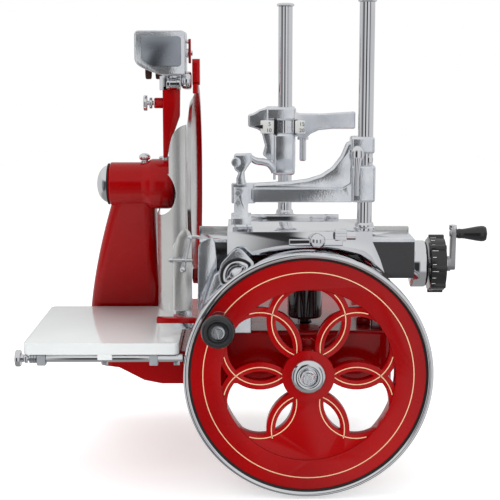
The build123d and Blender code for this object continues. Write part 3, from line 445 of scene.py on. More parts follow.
def knurled(bm, axis, origin, radius, start, end, teeth=None, depth=0.7):
    """A knob with straight teeth round its rim and bevelled rims."""
    teeth = teeth or bpy.context.scene.slicer_sizes.knurl_teeth
    along, _ = AXES[axis]
    centre = Vector(origin) + along * start
    turn = along.to_track_quat("Z", "Y").to_matrix().to_4x4()
    made = bmesh.ops.create_circle(bm, cap_ends=True, segments=2 * teeth, radius=radius,
                                   matrix=Matrix.Translation(centre) @ turn)["verts"]
    for vert in made[::2]:
        vert.co = centre + (vert.co - centre) * (1 - depth / radius)
    face = list(set(made[0].link_faces))
    waist = bmesh.ops.extrude_face_region(bm, geom=face)["geom"]
    tops = [v for v in waist if isinstance(v, bmesh.types.BMVert)]
    bmesh.ops.translate(bm, vec=along * (end - start), verts=tops)
    for ring in (made, tops):
        cap = [f for f in ring[0].link_faces if len(f.verts) > 4]
        bmesh.ops.inset_region(bm, faces=cap, thickness=0.9, depth=0.6)


def slotted_head(bm, axis, centre, radius, height, turn_by=35):
    """A low round screw head, facing against the axis, with a straight slot."""
    along, _ = AXES[axis]
    width = radius * 0.28
    basis = (-along).to_track_quat("Z", "Y").to_matrix().to_4x4()
    place = Matrix.Translation(centre) @ basis @ Matrix.Rotation(radians(turn_by), 4, "Z")
    bmesh.ops.create_cone(bm, cap_ends=True, segments=28, radius1=radius, radius2=radius,
                          depth=height * 0.6,
                          matrix=place @ Matrix.Translation((0, 0, height * 0.3)))
    for side in (0, 180):
        half = bmesh.ops.create_cone(bm, cap_ends=True, segments=28, radius1=radius,
                                     radius2=radius * 0.86, depth=height * 0.5,
                                     matrix=Matrix.Translation((0, 0, height * 0.8)))["verts"]
        faces = list({f for v in half for f in v.link_faces})
        edges = list({e for v in half for e in v.link_edges})
        bmesh.ops.bisect_plane(bm, geom=half + edges + faces, plane_co=(width / 2, 0, 0),
                               plane_no=(1, 0, 0), clear_inner=True)
        kept = [v for v in half if v.is_valid]
        kept = list({w for v in kept for f in v.link_faces for w in f.verts})
        open_edges = [e for e in {e for v in kept for e in v.link_edges} if e.is_boundary]
        bmesh.ops.contextual_create(bm, geom=open_edges)
        bmesh.ops.transform(bm, matrix=place @ Matrix.Rotation(radians(side), 4, "Z"), verts=kept)


def hex_head(bm, axis, centre, radius, height):
    """A hexagon nut or bolt head, facing against the axis, with chamfered corners."""
    along, _ = AXES[axis]
    basis = (-along).to_track_quat("Z", "Y").to_matrix().to_4x4()
    made = bmesh.ops.create_cone(bm, cap_ends=True, segments=6, radius1=radius, radius2=radius,
                                 depth=height, matrix=Matrix.Translation(centre) @ basis
                                 @ Matrix.Translation((0, 0, height / 2)))["verts"]
    round_edges(bm, {f for v in made for f in v.link_faces}, radius * 0.08, 2)


def make_piece(name, bm, body, slot, material=None, replaces=(), smooth_angle=34):
    """Turn a finished bmesh into a piece that rides on a CAD body."""
    bmesh.ops.remove_doubles(bm, verts=bm.verts, dist=WELD)
    bmesh.ops.recalc_face_normals(bm, faces=bm.faces)
    bmesh.ops.scale(bm, vec=(MM, MM, MM), verts=bm.verts)
    mesh = bpy.data.meshes.new(name)
    bm.to_mesh(mesh)
    bm.free()
    mesh.shade_smooth()
    mesh.set_sharp_from_angle(angle=radians(smooth_angle))
    piece = bpy.data.objects.new(name, mesh)
    bpy.context.scene.collection.objects.link(piece)
    piece.data.materials.append(MATERIALS[material or slot])
    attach(piece, body)
    if replaces:
        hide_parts(*replaces)
    return piece


def softened(node, width, segments=2, material=None, angle=28, extra=None):
    """Stand-in for a CAD node: the same shape with its sharp edges rounded."""
    bm = bmesh.new()
    bm.from_mesh(frame["nodes"][node].data)
    bmesh.ops.scale(bm, vec=(1000, 1000, 1000), verts=bm.verts)
    bmesh.ops.remove_doubles(bm, verts=bm.verts, dist=CAD_WELD)
    bmesh.ops.dissolve_limit(bm, angle_limit=radians(0.6), verts=bm.verts, edges=bm.edges)
    bmesh.ops.recalc_face_normals(bm, faces=bm.faces)
    round_edges(bm, set(bm.faces), width, segments, angle)
    if extra:
        extra(bm)
    return make_piece(f"{node}_finished", bm, BODY_OF[node], SLOT_OF[node], material, (node,))


def node_span(node):
    """(low, high) corners of a CAD node in millimetres."""
    low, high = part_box(node)
    return low * 1000, high * 1000


def add_text(bm, words, size, place, thickness=0.25):
    """Raised lettering for a plain numeral, laid in by the place matrix."""
    curve = bpy.data.curves.new("numeral", "FONT")
    curve.body = words
    curve.size = size
    curve.align_x = "CENTER"
    curve.align_y = "CENTER"
    curve.extrude = thickness
    curve.resolution_u = 3
    add_curve(bm, curve, place)


# ---------------------------------------------------------------- operators

class SLICER_OT_finishes(bpy.types.Operator):
    """Make every finish and give each CAD node the one its slot names"""

    bl_idname = "slicer.finishes"
    bl_label = "Finishes"

    def execute(self, context):
        build_materials()
        for name, node in frame["nodes"].items():
            node.data.materials.clear()
            node.data.materials.append(MATERIALS[SLOT_OF[name]])
            node.data.shade_smooth()
            node.data.set_sharp_from_angle(angle=radians(30))
        for name in ("blade", "blade_flange"):
            frame["nodes"][name].data.materials[0] = MATERIALS["blade_steel"]
        return {"FINISHED"}


class SLICER_OT_softened_parts(bpy.types.Operator):
    """Round the edges of the plain castings and machined parts"""

    bl_idname = "slicer.softened_parts"
    bl_label = "Softened parts"

    def execute(self, context):
        sizes = context.scene.slicer_sizes
        softened("flywheel", 2.2, 3)
        for node in ("rod_standards", "blade_guard"):
            softened(node, sizes.casting_edge, 3)
        for node in ("carriage_body", "carriage_top", "back_rail", "side_rail", "guide_sleeve",
                     "feed_housing", "lower_guard", "connecting_rod", "sharpener_bracket"):
            softened(node, sizes.machined_edge, 2)
        softened("tray_clips", 1.6, 3)
        softened("slice_deflector", 0.5, 2)
        return {"FINISHED"}


class SLICER_OT_flywheel_trim(bpy.types.Operator):
    """Chrome rim, hub washer, slotted bolt and painted stripes of the flywheel"""

    bl_idname = "slicer.flywheel_trim"
    bl_label = "Flywheel trim"

    def execute(self, context):
        low, high = node_span("wheel_rim")
        front, back = low.y - WHEEL.y, high.y - WHEEL.y
        bm = bmesh.new()
        turned(bm, "Y", WHEEL, [
            (194.2, 0.4), (196.9, -3.0), (198.4, -4.4), (200.2, front), (202.4, front + 0.5),
            (204.0, -2.6), (204.9, 0.2), (205, 3), (205, back - 4), (204.2, back - 1.2),
            (202, back), (194.2, back)
        ], 160, True)
        make_piece("rim_band", bm, "flywheel", "chrome", replaces=("wheel_rim",))
        # Painted shade: a near-black ring on the red felloe at the chrome rim's inner edge, standing
        # for the shadow in that seam.
        bm = bmesh.new()
        turned(bm, "Y", WHEEL, [
            (192.6, 0.4), (193.0, -0.5), (194.4, -1.3), (196.2, -2.6), (197.0, -2.2), (196.2, 0.4)
        ], 160, True)
        make_piece("rim_joint_shade", bm, "flywheel", "red_enamel", "near_black_and_seam_shade")
        self.stripes(context.scene.slicer_sizes.stripe_width)
        bm = bmesh.new()
        turned(bm, "Y", WHEEL, [
            (8, 0), (28.2, 0), (28.6, -1), (28.4, -2.4), (27.2, -4.4), (24.8, -6.2), (21.6, -7.4),
            (18.6, -7.6), (16.6, -7.2), (15.7, -6.4), (15.4, -4.6), (13.2, -4.4), (13.0, -6.4),
            (8, -6.4)
        ], 72, True)
        make_piece("hub_washer_dished", bm, "flywheel", "chrome", replaces=("hub_washer",))
        bm = bmesh.new()
        turned(bm, "Y", WHEEL + Vector((0, -8, 0)), [
            (0, 1.4), (12.6, 1.4), (12.8, -1.8), (12.2, -3.2), (11, -3.8), (0, -3.8)
        ], 48)
        slotted_head(bm, "Y", WHEEL + Vector((0, -11.6, 0)), 10.8, 5.4, 40)
        make_piece("hub_bolt_slotted", bm, "flywheel", "chrome", "polished_alloy", ("hub_bolt",))
        return {"FINISHED"}

    def stripes(self, width):
        """A full stripe on the felloe and paired arcs on each of the six spoke rings."""
        bm = bmesh.new()
        turned(bm, "Y", WHEEL, [
            (FELLOE_STRIPE - width / 2, 0.2), (FELLOE_STRIPE - width / 2, -0.25),
            (FELLOE_STRIPE + width / 2, -0.25), (FELLOE_STRIPE + width / 2, 0.2)
        ], 160, True)

        def turn_at(distance):
            squares = distance ** 2 - SPOKE_CENTRE ** 2 - SPOKE_STRIPE ** 2
            return acos(squares / (2 * SPOKE_CENTRE * SPOKE_STRIPE))

        last = turn_at(HUB_EDGE)
        for spoke in range(6):
            first = turn_at(WEB_STRIPE_END if spoke == 4 else FELLOE_INNER)
            outward = radians(30 + 60 * spoke)
            centre = WHEEL + Vector((SPOKE_CENTRE * cos(outward), 3, SPOKE_CENTRE * sin(outward)))
            for side in (-1, 1):
                start = outward + side * first
                along = Vector((cos(start), 0, sin(start)))
                corners = [(SPOKE_STRIPE - width / 2, 0.2), (SPOKE_STRIPE - width / 2, -0.25),
                           (SPOKE_STRIPE + width / 2, -0.25), (SPOKE_STRIPE + width / 2, 0.2)]
                verts = [bm.verts.new(centre + along * r + Vector((0, d, 0))) for r, d in corners]
                face = bm.faces.new(verts)
                bmesh.ops.spin(bm, geom=[face], cent=centre, axis=(0, -1, 0), dvec=(0, 0, 0),
                               angle=side * (last - first), steps=30, use_merge=False,
                               use_duplicate=False)
        make_piece("wheel_stripes", bm, "flywheel", "red_enamel", "stripe_paint")


class SLICER_OT_crank_grip(bpy.types.Operator):
    """Black crank handle with its dished face and the bright stud through it"""

    bl_idname = "slicer.crank_grip"
    bl_label = "Crank grip"

    def execute(self, context):
        low, high = node_span("crank_grip")
        centre = Vector(((low.x + high.x) / 2, WHEEL.y, (low.z + high.z) / 2))
        bm = bmesh.new()
        turned(bm, "Y", centre, [
            (5.1, -5), (15, -5), (16.4, -6.2), (17.2, -9), (16.8, -14), (17.2, -24), (18.6, -38),
            (21, -52), (24, -63), (26.2, -71), (27, -76.5), (26.6, -80.5), (25, -84), (22.4, -86),
            (20, -86.4), (18, -85.2), (16.4, -82.6), (14.6, -81.4), (12, -81.2), (5.1, -81.2)
        ], 64, True)
        make_piece("crank_grip_moulded", bm, "grip", "black_plastic", replaces=("crank_grip",))
        bm = bmesh.new()
        turned(bm, "Y", centre, [(0, 0.2), (16, 0.2), (16.4, -1), (15.6, -3.4), (13, -4.2), (5, -4.6),
                                 (5, -82.4), (10.8, -82.6), (11.2, -84), (10.4, -85.6), (0, -86)], 56)
        slotted_head(bm, "Y", centre + Vector((0, -85.6, 0)), 8.2, 5.2, 20)
        make_piece("grip_stud_bright", bm, "flywheel", "chrome", "polished_alloy", ("grip_stud",))
        return {"FINISHED"}


class SLICER_OT_base_details(bpy.types.Operator):
    """Arched shaft housing, lubricator and screws of the base"""

    bl_idname = "slicer.base_details"
    bl_label = "Base details"

    def execute(self, context):
        front = node_span("base_casting")[0].y
        bm = bmesh.new()
        arch = [(-17, -2), (-17, 42), (-12, 52), (-5, 56), (5, 56), (12, 52), (17, 42), (17, -2)]
        plate(bm, [(WHEEL.x + x, WHEEL.z + z) for x, z in arch], "Y", front + 1, front - 12, 3.5, 4)
        turned(bm, "Y", (WHEEL.x, front, WHEEL.z), [(0, 1), (26, 1), (26, -13), (24.4, -15.4),
                                                    (22, -16), (0, -16)], 56)
        make_piece("shaft_housing", bm, "base", "red_enamel")
        bm = bmesh.new()
        turned(bm, "Y", (WHEEL.x, front - 12, WHEEL.z + 30), [(0, 1), (6.4, 1), (6.4, -0.6),
                                                              (5, -2.2), (0, -2.6)], 32)
        for x in (BASE_SCREW_LEFT, 146):
            slotted_head(bm, "Y", (x, front, 14), 5.4, 2.6, 62)
        make_piece("base_screws", bm, "base", "chrome")
        self.fitting()
        return {"FINISHED"}

    def fitting(self):
        """Small red bracket with a bright set screw on the deck's right side."""
        top = node_span("base_casting")[1].z
        bm = bmesh.new()
        rounded_box(bm, (118, 142), (-120, -98), (top - 1, top + 13), 3, 3)
        turned(bm, "Z", (130, -109, top + 12), [(0, 0), (7, 0), (6.2, 4), (0, 5)], 28)
        make_piece("rail_stop", bm, "base", "red_enamel")
        bm = bmesh.new()
        rod(bm, [(142, -109, top + 7), (152, -109, top + 7)], 2.4)
        ball(bm, (153, -109, top + 7), 4.4, (0.7, 1, 1))
        make_piece("rail_stop_screw", bm, "base", "chrome")


class SLICER_OT_hub(bpy.types.Operator):
    """Collar, dome, a near-black ring of painted shade at the dome's seat, and oil cup of the blade
    hub
    """

    bl_idname = "slicer.hub"
    bl_label = "Blade hub"

    def execute(self, context):
        low, high = node_span("hub_cap")
        seat = Vector((high.x, BLADE.y, BLADE.z))
        bm = bmesh.new()
        turned(bm, "X", seat, [(0, -1.4), (33.4, -1.4), (33.8, -3), (33, -5), (31, -9.4), (27, -14),
                               (21, -18), (14, -20.6), (6, -22), (0, -22.4)], 72)
        make_piece("hub_dome", bm, "base", "chrome", replaces=("hub_cap",))
        # Painted shade: a near-black ring at the seat of the chrome dome, standing for the shadow in
        # that seam.
        bm = bmesh.new()
        turned(bm, "X", seat, [(30, 0.2), (37, 0.2), (37.4, -0.8), (36.4, -2.4), (34, -3), (30, -3)],
               72, True)
        make_piece("hub_seam_shade", bm, "base", "chrome", "near_black_and_seam_shade")
        bm = bmesh.new()
        turned(bm, "X", (0, BLADE.y, BLADE.z), [
            (38.5, -262), (39.2, -256), (41, -249), (43.6, -244), (45, -240), (45, -212),
            (44, -206), (41, -202), (38, -200), (30, -200), (30, -262)
        ], 72, True)
        make_piece("hub_collar", bm, "base", "red_enamel")
        low, high = node_span("oil_cup")
        spot = Vector(((low.x + high.x) / 2, BLADE.y, low.z))
        bm = bmesh.new()
        turned(bm, "Z", spot, [
            (0, 0.5), (7.4, 0.5), (7.4, 2.6), (6, 3.4), (6, 4.6), (8.6, 6), (10.2, 8.4),
            (10.5, 10.6), (9.6, 13.2), (7.6, 15.4), (4.6, 16.9), (1.6, 17.4), (0, 17.5)
        ], 40)
        make_piece("oil_cup_ball", bm, "base", "chrome", replaces=("oil_cup",))
        return {"FINISHED"}


class SLICER_OT_sharpener(bpy.types.Operator):
    """Sharpener cover with its recessed panel, stones, knob, lever and socket"""

    bl_idname = "slicer.sharpener"
    bl_label = "Sharpener"

    def execute(self, context):
        low, high = node_span("sharpener_cover")
        bm = bmesh.new()
        outline = [(low.x, low.z + 22), (low.x + 12, low.z + 13), (low.x + 34, low.z + 4),
                   (low.x + 48, low.z), (high.x, low.z), (high.x, high.z), (low.x, high.z)]
        plate(bm, outline, "Y", high.y, low.y + 2.4, 1.8, 3, 9.0)
        rounded_box(bm, (low.x + 42, low.x + 56), (low.y + 26, low.y + 44),
                    (high.z - 4, high.z - 0.2), 1.2)
        make_piece("sharpener_hood", bm, "base", "polished_alloy", replaces=("sharpener_cover",))
        # Painted dark reflection: the recessed panel takes the darker, bluish copy of the stainless.
        bm = bmesh.new()
        frame_outline = [
            (low.x + 30, low.z + 15), (high.x - 7, low.z + 15), (high.x - 7, high.z - 10),
            (low.x + 12, high.z - 10), (low.x + 12, low.z + 27)
        ]
        plate(bm, frame_outline, "Y", low.y + 3, low.y + 1.6, 0.6, 2, 6.0)
        make_piece("sharpener_panel", bm, "base", "stainless", "shaded_steel")
        bm = bmesh.new()
        for x in (low.x + 22, low.x + 40):
            turned(bm, "X", (x, BLADE.y, low.z + 8), [(0, -5), (14, -5), (15.4, -4), (15.4, 4),
                                                      (14, 5), (0, 5)], 44)
        make_piece("grinding_wheels", bm, "stones", "grinding_stone",
                   replaces=("sharpener_stones",))
        bm = bmesh.new()
        turned(bm, "X", (high.x, BLADE.y, 503), [
            (0, -9), (11, -9), (13.4, -7.6), (15.4, -4.6), (16, 0), (16, 6), (14.6, 8.4),
            (12, 9.4), (0, 9.4)
        ], 44)
        make_piece("truing_barrel", bm, "stones", "chrome")
        bm = bmesh.new()
        outline = [(-220, 366), (-213, 366), (-208, 390), (-199, 415), (-190, 440), (-189, 494),
                   (-220, 494)]
        plate(bm, outline, "Y", 37, 13, 1.8, 3, 2.0)
        make_piece("sharpener_post_cast", bm, "base", "red_enamel", replaces=("sharpener_post",))
        self.knob_and_socket()
        self.lever()
        return {"FINISHED"}

    def knob_and_socket(self):
        """Knurled lock knob on the post, the pinch barrel above and the socket below."""
        low, high = node_span("sharpener_bracket")
        bm = bmesh.new()
        turned(bm, "X", (low.x + 20, BLADE.y, 463), [(0, 16), (8.5, 16), (9.4, 14), (9.4, 0), (8, -2),
                                                     (0, -2.4)], 36)
        make_piece("lock_boss", bm, "base", "red_enamel")
        bm = bmesh.new()
        rod(bm, [(low.x + 2, BLADE.y, 463), (low.x + 20, BLADE.y, 463)], 3.4)
        knurled(bm, "X", (low.x, BLADE.y, 463), 13.5, 0, 5.6)
        hex_head(bm, "X", (low.x + 14, BLADE.y, 463), 8.5, 4)
        turned(bm, "X", (high.x - 24, BLADE.y - 14, high.z - 14),
               [(0, 0), (11, 0), (12.4, 1), (12.4, 5), (10.4, 6.4), (10.4, 17), (12.4, 18.2),
                (12.4, 23), (11, 24), (0, 24)], 40)
        rounded_box(bm, (low.x + 42, low.x + 52), (BLADE.y - 16, BLADE.y + 4), (489, 512), 1.6, 3)
        hex_head(bm, "Y", (low.x + 47, BLADE.y - 16, 500), 6, 4)
        turned(bm, "Z", (-218, BLADE.y, 350), [(0, 0), (9, 0), (10.4, 1.4), (10.4, 16), (9, 18),
                                               (0, 18)], 36)
        ball(bm, (-218, BLADE.y - 9, 348), 5.4)
        slotted_head(bm, "Y", (-218, BLADE.y - 13.6, 348), 3.6, 2, 30)
        make_piece("sharpener_fittings", bm, "base", "chrome")

    def lever(self):
        """Swinging red lever with a small bright knob at each end."""
        low, high = node_span("sharpener_lever")
        middle = (low.x + high.x) / 2 + 1
        outline = [(-5, -14), (-3, -18), (3, -18), (5, -14), (6, 0), (4, 12), (5, 20), (3, 25),
                   (-3, 25), (-5, 20), (-4, 12), (-6, 0)]
        bm = bmesh.new()
        plate(bm, [(BLADE.y + y, 551 + z) for y, z in outline], "X", middle - 2, middle + 2.4, 1.1, 3)
        make_piece("sharpener_lever_cast", bm, "sharpener_lever", "red_enamel",
                   replaces=("sharpener_lever",))
        bm = bmesh.new()
        turned(bm, "X", (low.x, BLADE.y, 551), [
            (0, 0), (7.6, 0), (8, 1), (8, 3.6), (4.6, 4.2), (4.6, 10.6), (3.6, 11.4), (0, 11.4)
        ], 32)
        ball(bm, (middle - 3, BLADE.y, 571), 3.6)
        make_piece("sharpener_lever_pin", bm, "sharpener_lever", "chrome")


class SLICER_OT_blade_details(bpy.types.Operator):
    """Screws and machined steps on the blade's clamping flange, and the guard's fittings"""

    bl_idname = "slicer.blade_details"
    bl_label = "Blade details"

    def execute(self, context):
        bm = bmesh.new()
        turned(bm, "X", BLADE, [
            (0, -16), (52, -16), (52, -13.6), (51, -12.4), (42, -10.4), (40, -10.8), (26, -9.6),
            (24.6, -9), (9, -9), (8, -9.6), (0, -9.6)
        ], 72)
        for turn_by in range(0, 360, 90):
            spot = BLADE + Vector((-11.4, 33 * cos(radians(turn_by + 45)),
                                   33 * sin(radians(turn_by + 45))))
            turned(bm, "X", spot, [
                (0, 0), (5.2, 0), (5.2, 2), (4, 2.8), (2.6, 2.8), (2.2, 1.4), (0, 1.4)
            ], 24)
        make_piece("blade_clamp_plate", bm, "blade", "stainless", "blade_steel", ("blade_flange",))
        bm = bmesh.new()
        outline = [(-152, 122), (-150, 232), (-142, 240), (-128, 246), (-122, 240), (-119, 210),
                   (-119, 122)]
        plate(bm, [(x - 2, z) for x, z in outline], "Y", -148, -141, 2.2, 3, 5)
        make_piece("blade_plates", bm, "base", "polished_alloy")
        bm = bmesh.new()
        outline = [(-193, 122), (-193, 228), (-188, 246), (-180, 259), (-172, 262), (-164, 256),
                   (-162, 240), (-162, 122)]
        plate(bm, outline, "Y", -158, -155.2, 0.9, 2, 5)
        make_piece("lower_plate_face", bm, "base", "stainless")
        bm = bmesh.new()
        rounded_box(bm, (-222, -156), (-166, -150), (102.5, 111.4), 1.2, 2)
        make_piece("guard_foot", bm, "base", "red_enamel")
        self.linkage()
        return {"FINISHED"}

    def linkage(self):
        """Small adjusting rod and link between the guard and the lower plate."""
        bm = bmesh.new()
        rod(bm, [(-201, -163, 209), (-161, -163, 209)], 2.6)
        for x in (-199, -178):
            knurled(bm, "X", (x, -163, 209), 4.6, 0, 5, 12, 0.5)
        rod(bm, [(-166, -160, 246), (-171, -164, 224), (-177, -162, 196)], 4.2, (0.8, 1.0, 0.9))
        ball(bm, (-177, -163, 194), 5.4)
        rod(bm, [(-168, -159, 246), (-160, -156, 250), (-150, -152, 246)], 3.2)
        ball(bm, (-165, -160, 247), 5)
        make_piece("guard_linkage", bm, "base", "chrome")


class SLICER_OT_guide_flange(bpy.types.Operator):
    """Diamond flange, rings and dome at the front of the guide rod"""

    bl_idname = "slicer.guide_flange"
    bl_label = "Guide rod flange"

    def execute(self, context):
        bm = bmesh.new()
        outline = [(0, 46), (7, 43), (28, 20), (33, 0), (28, -20), (7, -43), (0, -46), (-7, -43),
                   (-28, -20), (-33, 0), (-28, 20), (-7, 43)]
        plate(bm, [(GUIDE.x + x, GUIDE.z + z) for x, z in outline], "Y", GUIDE.y + 3, GUIDE.y - 3,
              1.4, 3, 5)
        for z in (36.5, -36.5):
            slotted_head(bm, "Y", GUIDE + Vector((0, -3, z)), 5.2, 2.6, 48)
        make_piece("guide_flange", bm, "base", "polished_alloy")
        bm = bmesh.new()
        turned(bm, "Y", GUIDE, [(25, -2), (29, -2), (29.4, -3.4), (28, -5), (25, -5)], 64, True)
        make_piece("guide_felt", bm, "base", "black_enamel", "near_black_and_seam_shade")
        bm = bmesh.new()
        turned(bm, "Y", GUIDE, [(14, -2), (25, -2), (25.4, -4), (24.6, -6.4), (22, -7.4), (19, -7.4),
                                (17.6, -6), (14, -6)], 64, True)
        turned(bm, "Y", GUIDE, [
            (0, -3), (14.2, -3), (14.2, -6.6), (13, -10), (9, -12.4), (4, -13.4), (0, -13.6)
        ], 56)
        slotted_head(bm, "Y", GUIDE + Vector((0, -7, 19.6)), 2.6, 1.4, 20)
        make_piece("guide_end_cap", bm, "base", "chrome")
        return {"FINISHED"}


class SLICER_OT_meat_table(bpy.types.Operator):
    """Polished meat table with its fence, front bar, ball knob and clamp nut"""

    bl_idname = "slicer.meat_table"
    bl_label = "Meat table"

    def execute(self, context):
        low, high = node_span("meat_table")
        front = low.y

        def extras(bm):
            rounded_box(bm, (-1, 88), (front - 6, front + 1), (236, 247), 1.4, 3)
            rounded_box(bm, (-66, 92), (-33, -24), (high.z - 10, high.z - 0.6), 1.2, 2)

        softened("meat_table", 1.0, 2, "chrome", extra=extras)
        bm = bmesh.new()
        rod(bm, [(44.8, front - 3, 238), (44.8, front - 13, 242), (44.8, front - 17, 246)], 5)
        ball(bm, (44.8, front - 17, 247), 13.4)
        knurled(bm, "X", (75, front - 2, 254), 10, 0, 18, 26, 0.8)
        turned(bm, "X", (93, front - 2, 254), [(0, 0), (7.6, 0), (8.4, 1), (8.4, 15), (7.4, 16),
                                               (0, 16)], 36)
        rod(bm, [(44, -25, high.z - 3), (44, -25, high.z - 0.4)], 3.6)
        slotted_head(bm, "Y", (44, -33, high.z - 5), 3.2, 1.6, 40)
        make_piece("table_fittings", bm, "table", "chrome")
        self.posts()
        return {"FINISHED"}

    def posts(self):
        """Domed caps and stepped collars on the two columns."""
        low, high = node_span("column_caps")
        table_top = low.z
        bm = bmesh.new()
        for post in (NEAR_POST, FAR_POST):
            turned(bm, "Z", (post.x, post.y, high.z - 6), [
                (0, -0.5), (13.4, -0.5), (15, 0.6), (15.5, 2), (15, 3.8), (13, 5.2), (8, 5.8),
                (0, 6)
            ], 48)
            turned(bm, "Z", (post.x, post.y, table_top), [
                (12.5, 0), (17.6, 0), (18, 1), (18, 5), (15.6, 7), (15.2, 12), (14, 13.6),
                (12.5, 13.6)
            ], 48, True)
        make_piece("column_trim", bm, "table", "chrome", replaces=("column_caps",))


class SLICER_OT_near_arm(bpy.types.Operator):
    """Sculpted near clamp arm with its head, hinge, foot and lever"""

    bl_idname = "slicer.near_arm"
    bl_label = "Near clamp arm"

    def execute(self, context):
        post = NEAR_POST
        bm = bmesh.new()
        sweep = [(-61, 327), (-61, 338), (-40, 339), (0, 341), (30, 345), (52, 352), (70, 364),
                 (84, 382), (94, 406), (112, 408), (116, 366), (116, 327)]
        plate(bm, sweep, "Y", post.y - 9, post.y + 9, 5, 4)
        plate(bm, [(-61.5, 307), (-61.5, 330), (88, 330), (104, 340), (104, 307)], "Y",
              post.y - 15, post.y + 9, 2.4, 3, 3)
        rounded_box(bm, (101, 141), (post.y - 19, post.y + 18), (307, 368), 4.5, 4)
        rounded_box(bm, (100, 139), (post.y - 19, post.y + 18), (387, 415), 4.5, 4)
        rounded_box(bm, (101, 126), (post.y - 10, post.y + 17), (360, 395), 2.5, 3)
        make_piece("near_arm_cast", bm, "near_clamp", "polished_alloy", replaces=("near_arm",))
        bm = bmesh.new()
        hex_head(bm, "Y", (131, post.y - 4, 377), 6.5, 8)
        rod(bm, [(131, post.y - 2, 366), (131, post.y - 2, 390)], 3.6)
        make_piece("near_arm_bolt", bm, "near_clamp", "chrome")
        self.head()
        self.lever()
        return {"FINISHED"}

    def head(self):
        """Adjusting head above the hinge, riding on the arm, and the toothed foot below."""
        y = NEAR_POST.y
        bm = bmesh.new()
        outline = [(-91, 360), (-93, 372), (-91, 386), (-62, 387), (-62, 374), (-68, 366),
                   (-74, 356), (-73, 344), (-70, 334), (-88, 334), (-88, 346), (-84, 355)]
        plate(bm, outline, "Y", y - 9, y + 9, 3, 4)
        turned(bm, "Y", (-88, y - 10, 373), [(0, 2), (8, 2), (8, -1), (6.4, -3), (0, -3.4)], 32)
        rounded_box(bm, (-96, -56), (y - 5, y + 5), (304, 338), 2, 3)
        make_piece("near_arm_head", bm, "near_clamp", "polished_alloy")

        def hinge_trim(bm):
            for z in (322, 306):
                slotted_head(bm, "Y", (-85, y - 11, z), 4.6, 3, 30)

        softened("gripper", 0.9, 2, extra=hinge_trim)

    def lever(self):
        """Tapered clamp lever on the front of the arm."""
        low, high = node_span("arm_lever")
        middle = (low.x + high.x) / 2
        bm = bmesh.new()
        pivot = high.z - 10
        ball(bm, (middle, low.y + 5, pivot), 10.4, (1, 0.46, 1.3))
        rod(bm, [(middle, low.y + 5, pivot - 6), (middle - 1, low.y + 4.6, pivot - 26),
                 (middle - 1, low.y + 4, pivot - 46)], 7.4, (1, 0.74, 0.42))
        rod(bm, [(middle - 1, low.y + 4, pivot - 42), (middle - 1, low.y + 4, low.z + 0.5)], 3.6)
        turned(bm, "Y", (middle, high.y, pivot), [(0, 0), (8.6, 0), (8.6, -4), (0, -7)], 32)
        make_piece("near_lever_cast", bm, "near_lever", "chrome", replaces=("arm_lever",))


class SLICER_OT_far_arm(bpy.types.Operator):
    """Sculpted far clamp arm with its scale plates, pointer and pin"""

    bl_idname = "slicer.far_arm"
    bl_label = "Far clamp arm"

    def execute(self, context):
        bm = bmesh.new()
        rounded_box(bm, (-37, 17), (-6, 36), (433, 457), 5, 4)
        plate(bm, [(-68, 423), (-68, 443), (-58, 446), (-48, 452), (-36, 456), (-30, 456),
                   (-30, 409), (-42, 412), (-52, 418)], "Y", -6, 12, 3, 4)
        rounded_box(bm, (-24, 16), (-5, 35), (336, 411), 6, 4)
        plate(bm, [(-44, 412), (-20, 414), (-20, 362), (-30, 362), (-42, 372), (-38, 388)], "Y",
              -3, 20, 3, 4)
        rounded_box(bm, (-28, 20), (3, 34), (404, 438), 2, 2)
        plate(bm, [(10, 449), (24, 446), (60, 446), (118, 451), (118, 421), (80, 420),
                           (56, 417), (42, 410), (34, 401), (24, 402), (10, 412)], "Y", 6, -5, 3, 4)
        for vert in bm.verts:
            if vert.co.x > 20.5:
                vert.co.y -= (vert.co.x - 20.5) * 0.45
        rod(bm, [(-64, 0, 368), (-56, 0, 361), (-42, 0, 360), (-30, 0, 357), (-22, 0, 346),
                 (-21, 0, 340)], 6.6, (0.8, 1, 1, 1, 1, 0.9))
        rod(bm, [(-21, 0, 342), (-21, 0, 328)], 2.4)
        make_piece("far_arm_cast", bm, "far_clamp", "polished_alloy", replaces=("far_arm",))
        self.scale()
        return {"FINISHED"}

    def scale(self):
        """Two plain number plates either side of the column, with a pointer."""
        bm = bmesh.new()
        rounded_box(bm, (-46, -22), (-8.4, -6), (410.5, 433.5), 1.2, 3)
        rounded_box(bm, (15, 37), (-11.5, -6), (410.5, 433.5), 1.2, 3)
        make_piece("scale_plates", bm, "far_clamp", "chrome", "mark_paint")
        bm = bmesh.new()
        face_on = Matrix.Rotation(pi / 2, 4, "X")
        for words, x, y, z in (("5", -30, -8.5, 427), ("10", -31, -8.5, 416), ("15", 27, -11.6, 427),
                               ("20", 27, -11.6, 416)):
            add_text(bm, words, 9.5, Matrix.Translation((x, y, z)) @ face_on, 0.2)
        for x in (-22, 13):
            rounded_box(bm, (x, x + 5), (-9.4, -5.8), (409, 435), 0.5, 1)
        plate(bm, [(-58, 422.5), (-42, 426), (-42, 419)], "Y", -9.6, -8.2, 0.3, 1)
        make_piece("scale_numerals", bm, "far_clamp", "polished_alloy", "near_black_and_seam_shade")
        low, high = node_span("arm_clamp_screw")
        middle = (low.x + high.x) / 2
        bm = bmesh.new()
        turned(bm, "Z", (middle, 15, 0), [
            (0, low.z), (4.4, low.z + 0.4), (6, low.z + 2), (6, 397), (7.4, 398), (10, 398.6),
            (10, 403), (4, 404), (4, high.z - 1), (3, high.z), (0, high.z)
        ], 36)
        make_piece("far_screw_turned", bm, "far_screw", "chrome", replaces=("arm_clamp_screw",))


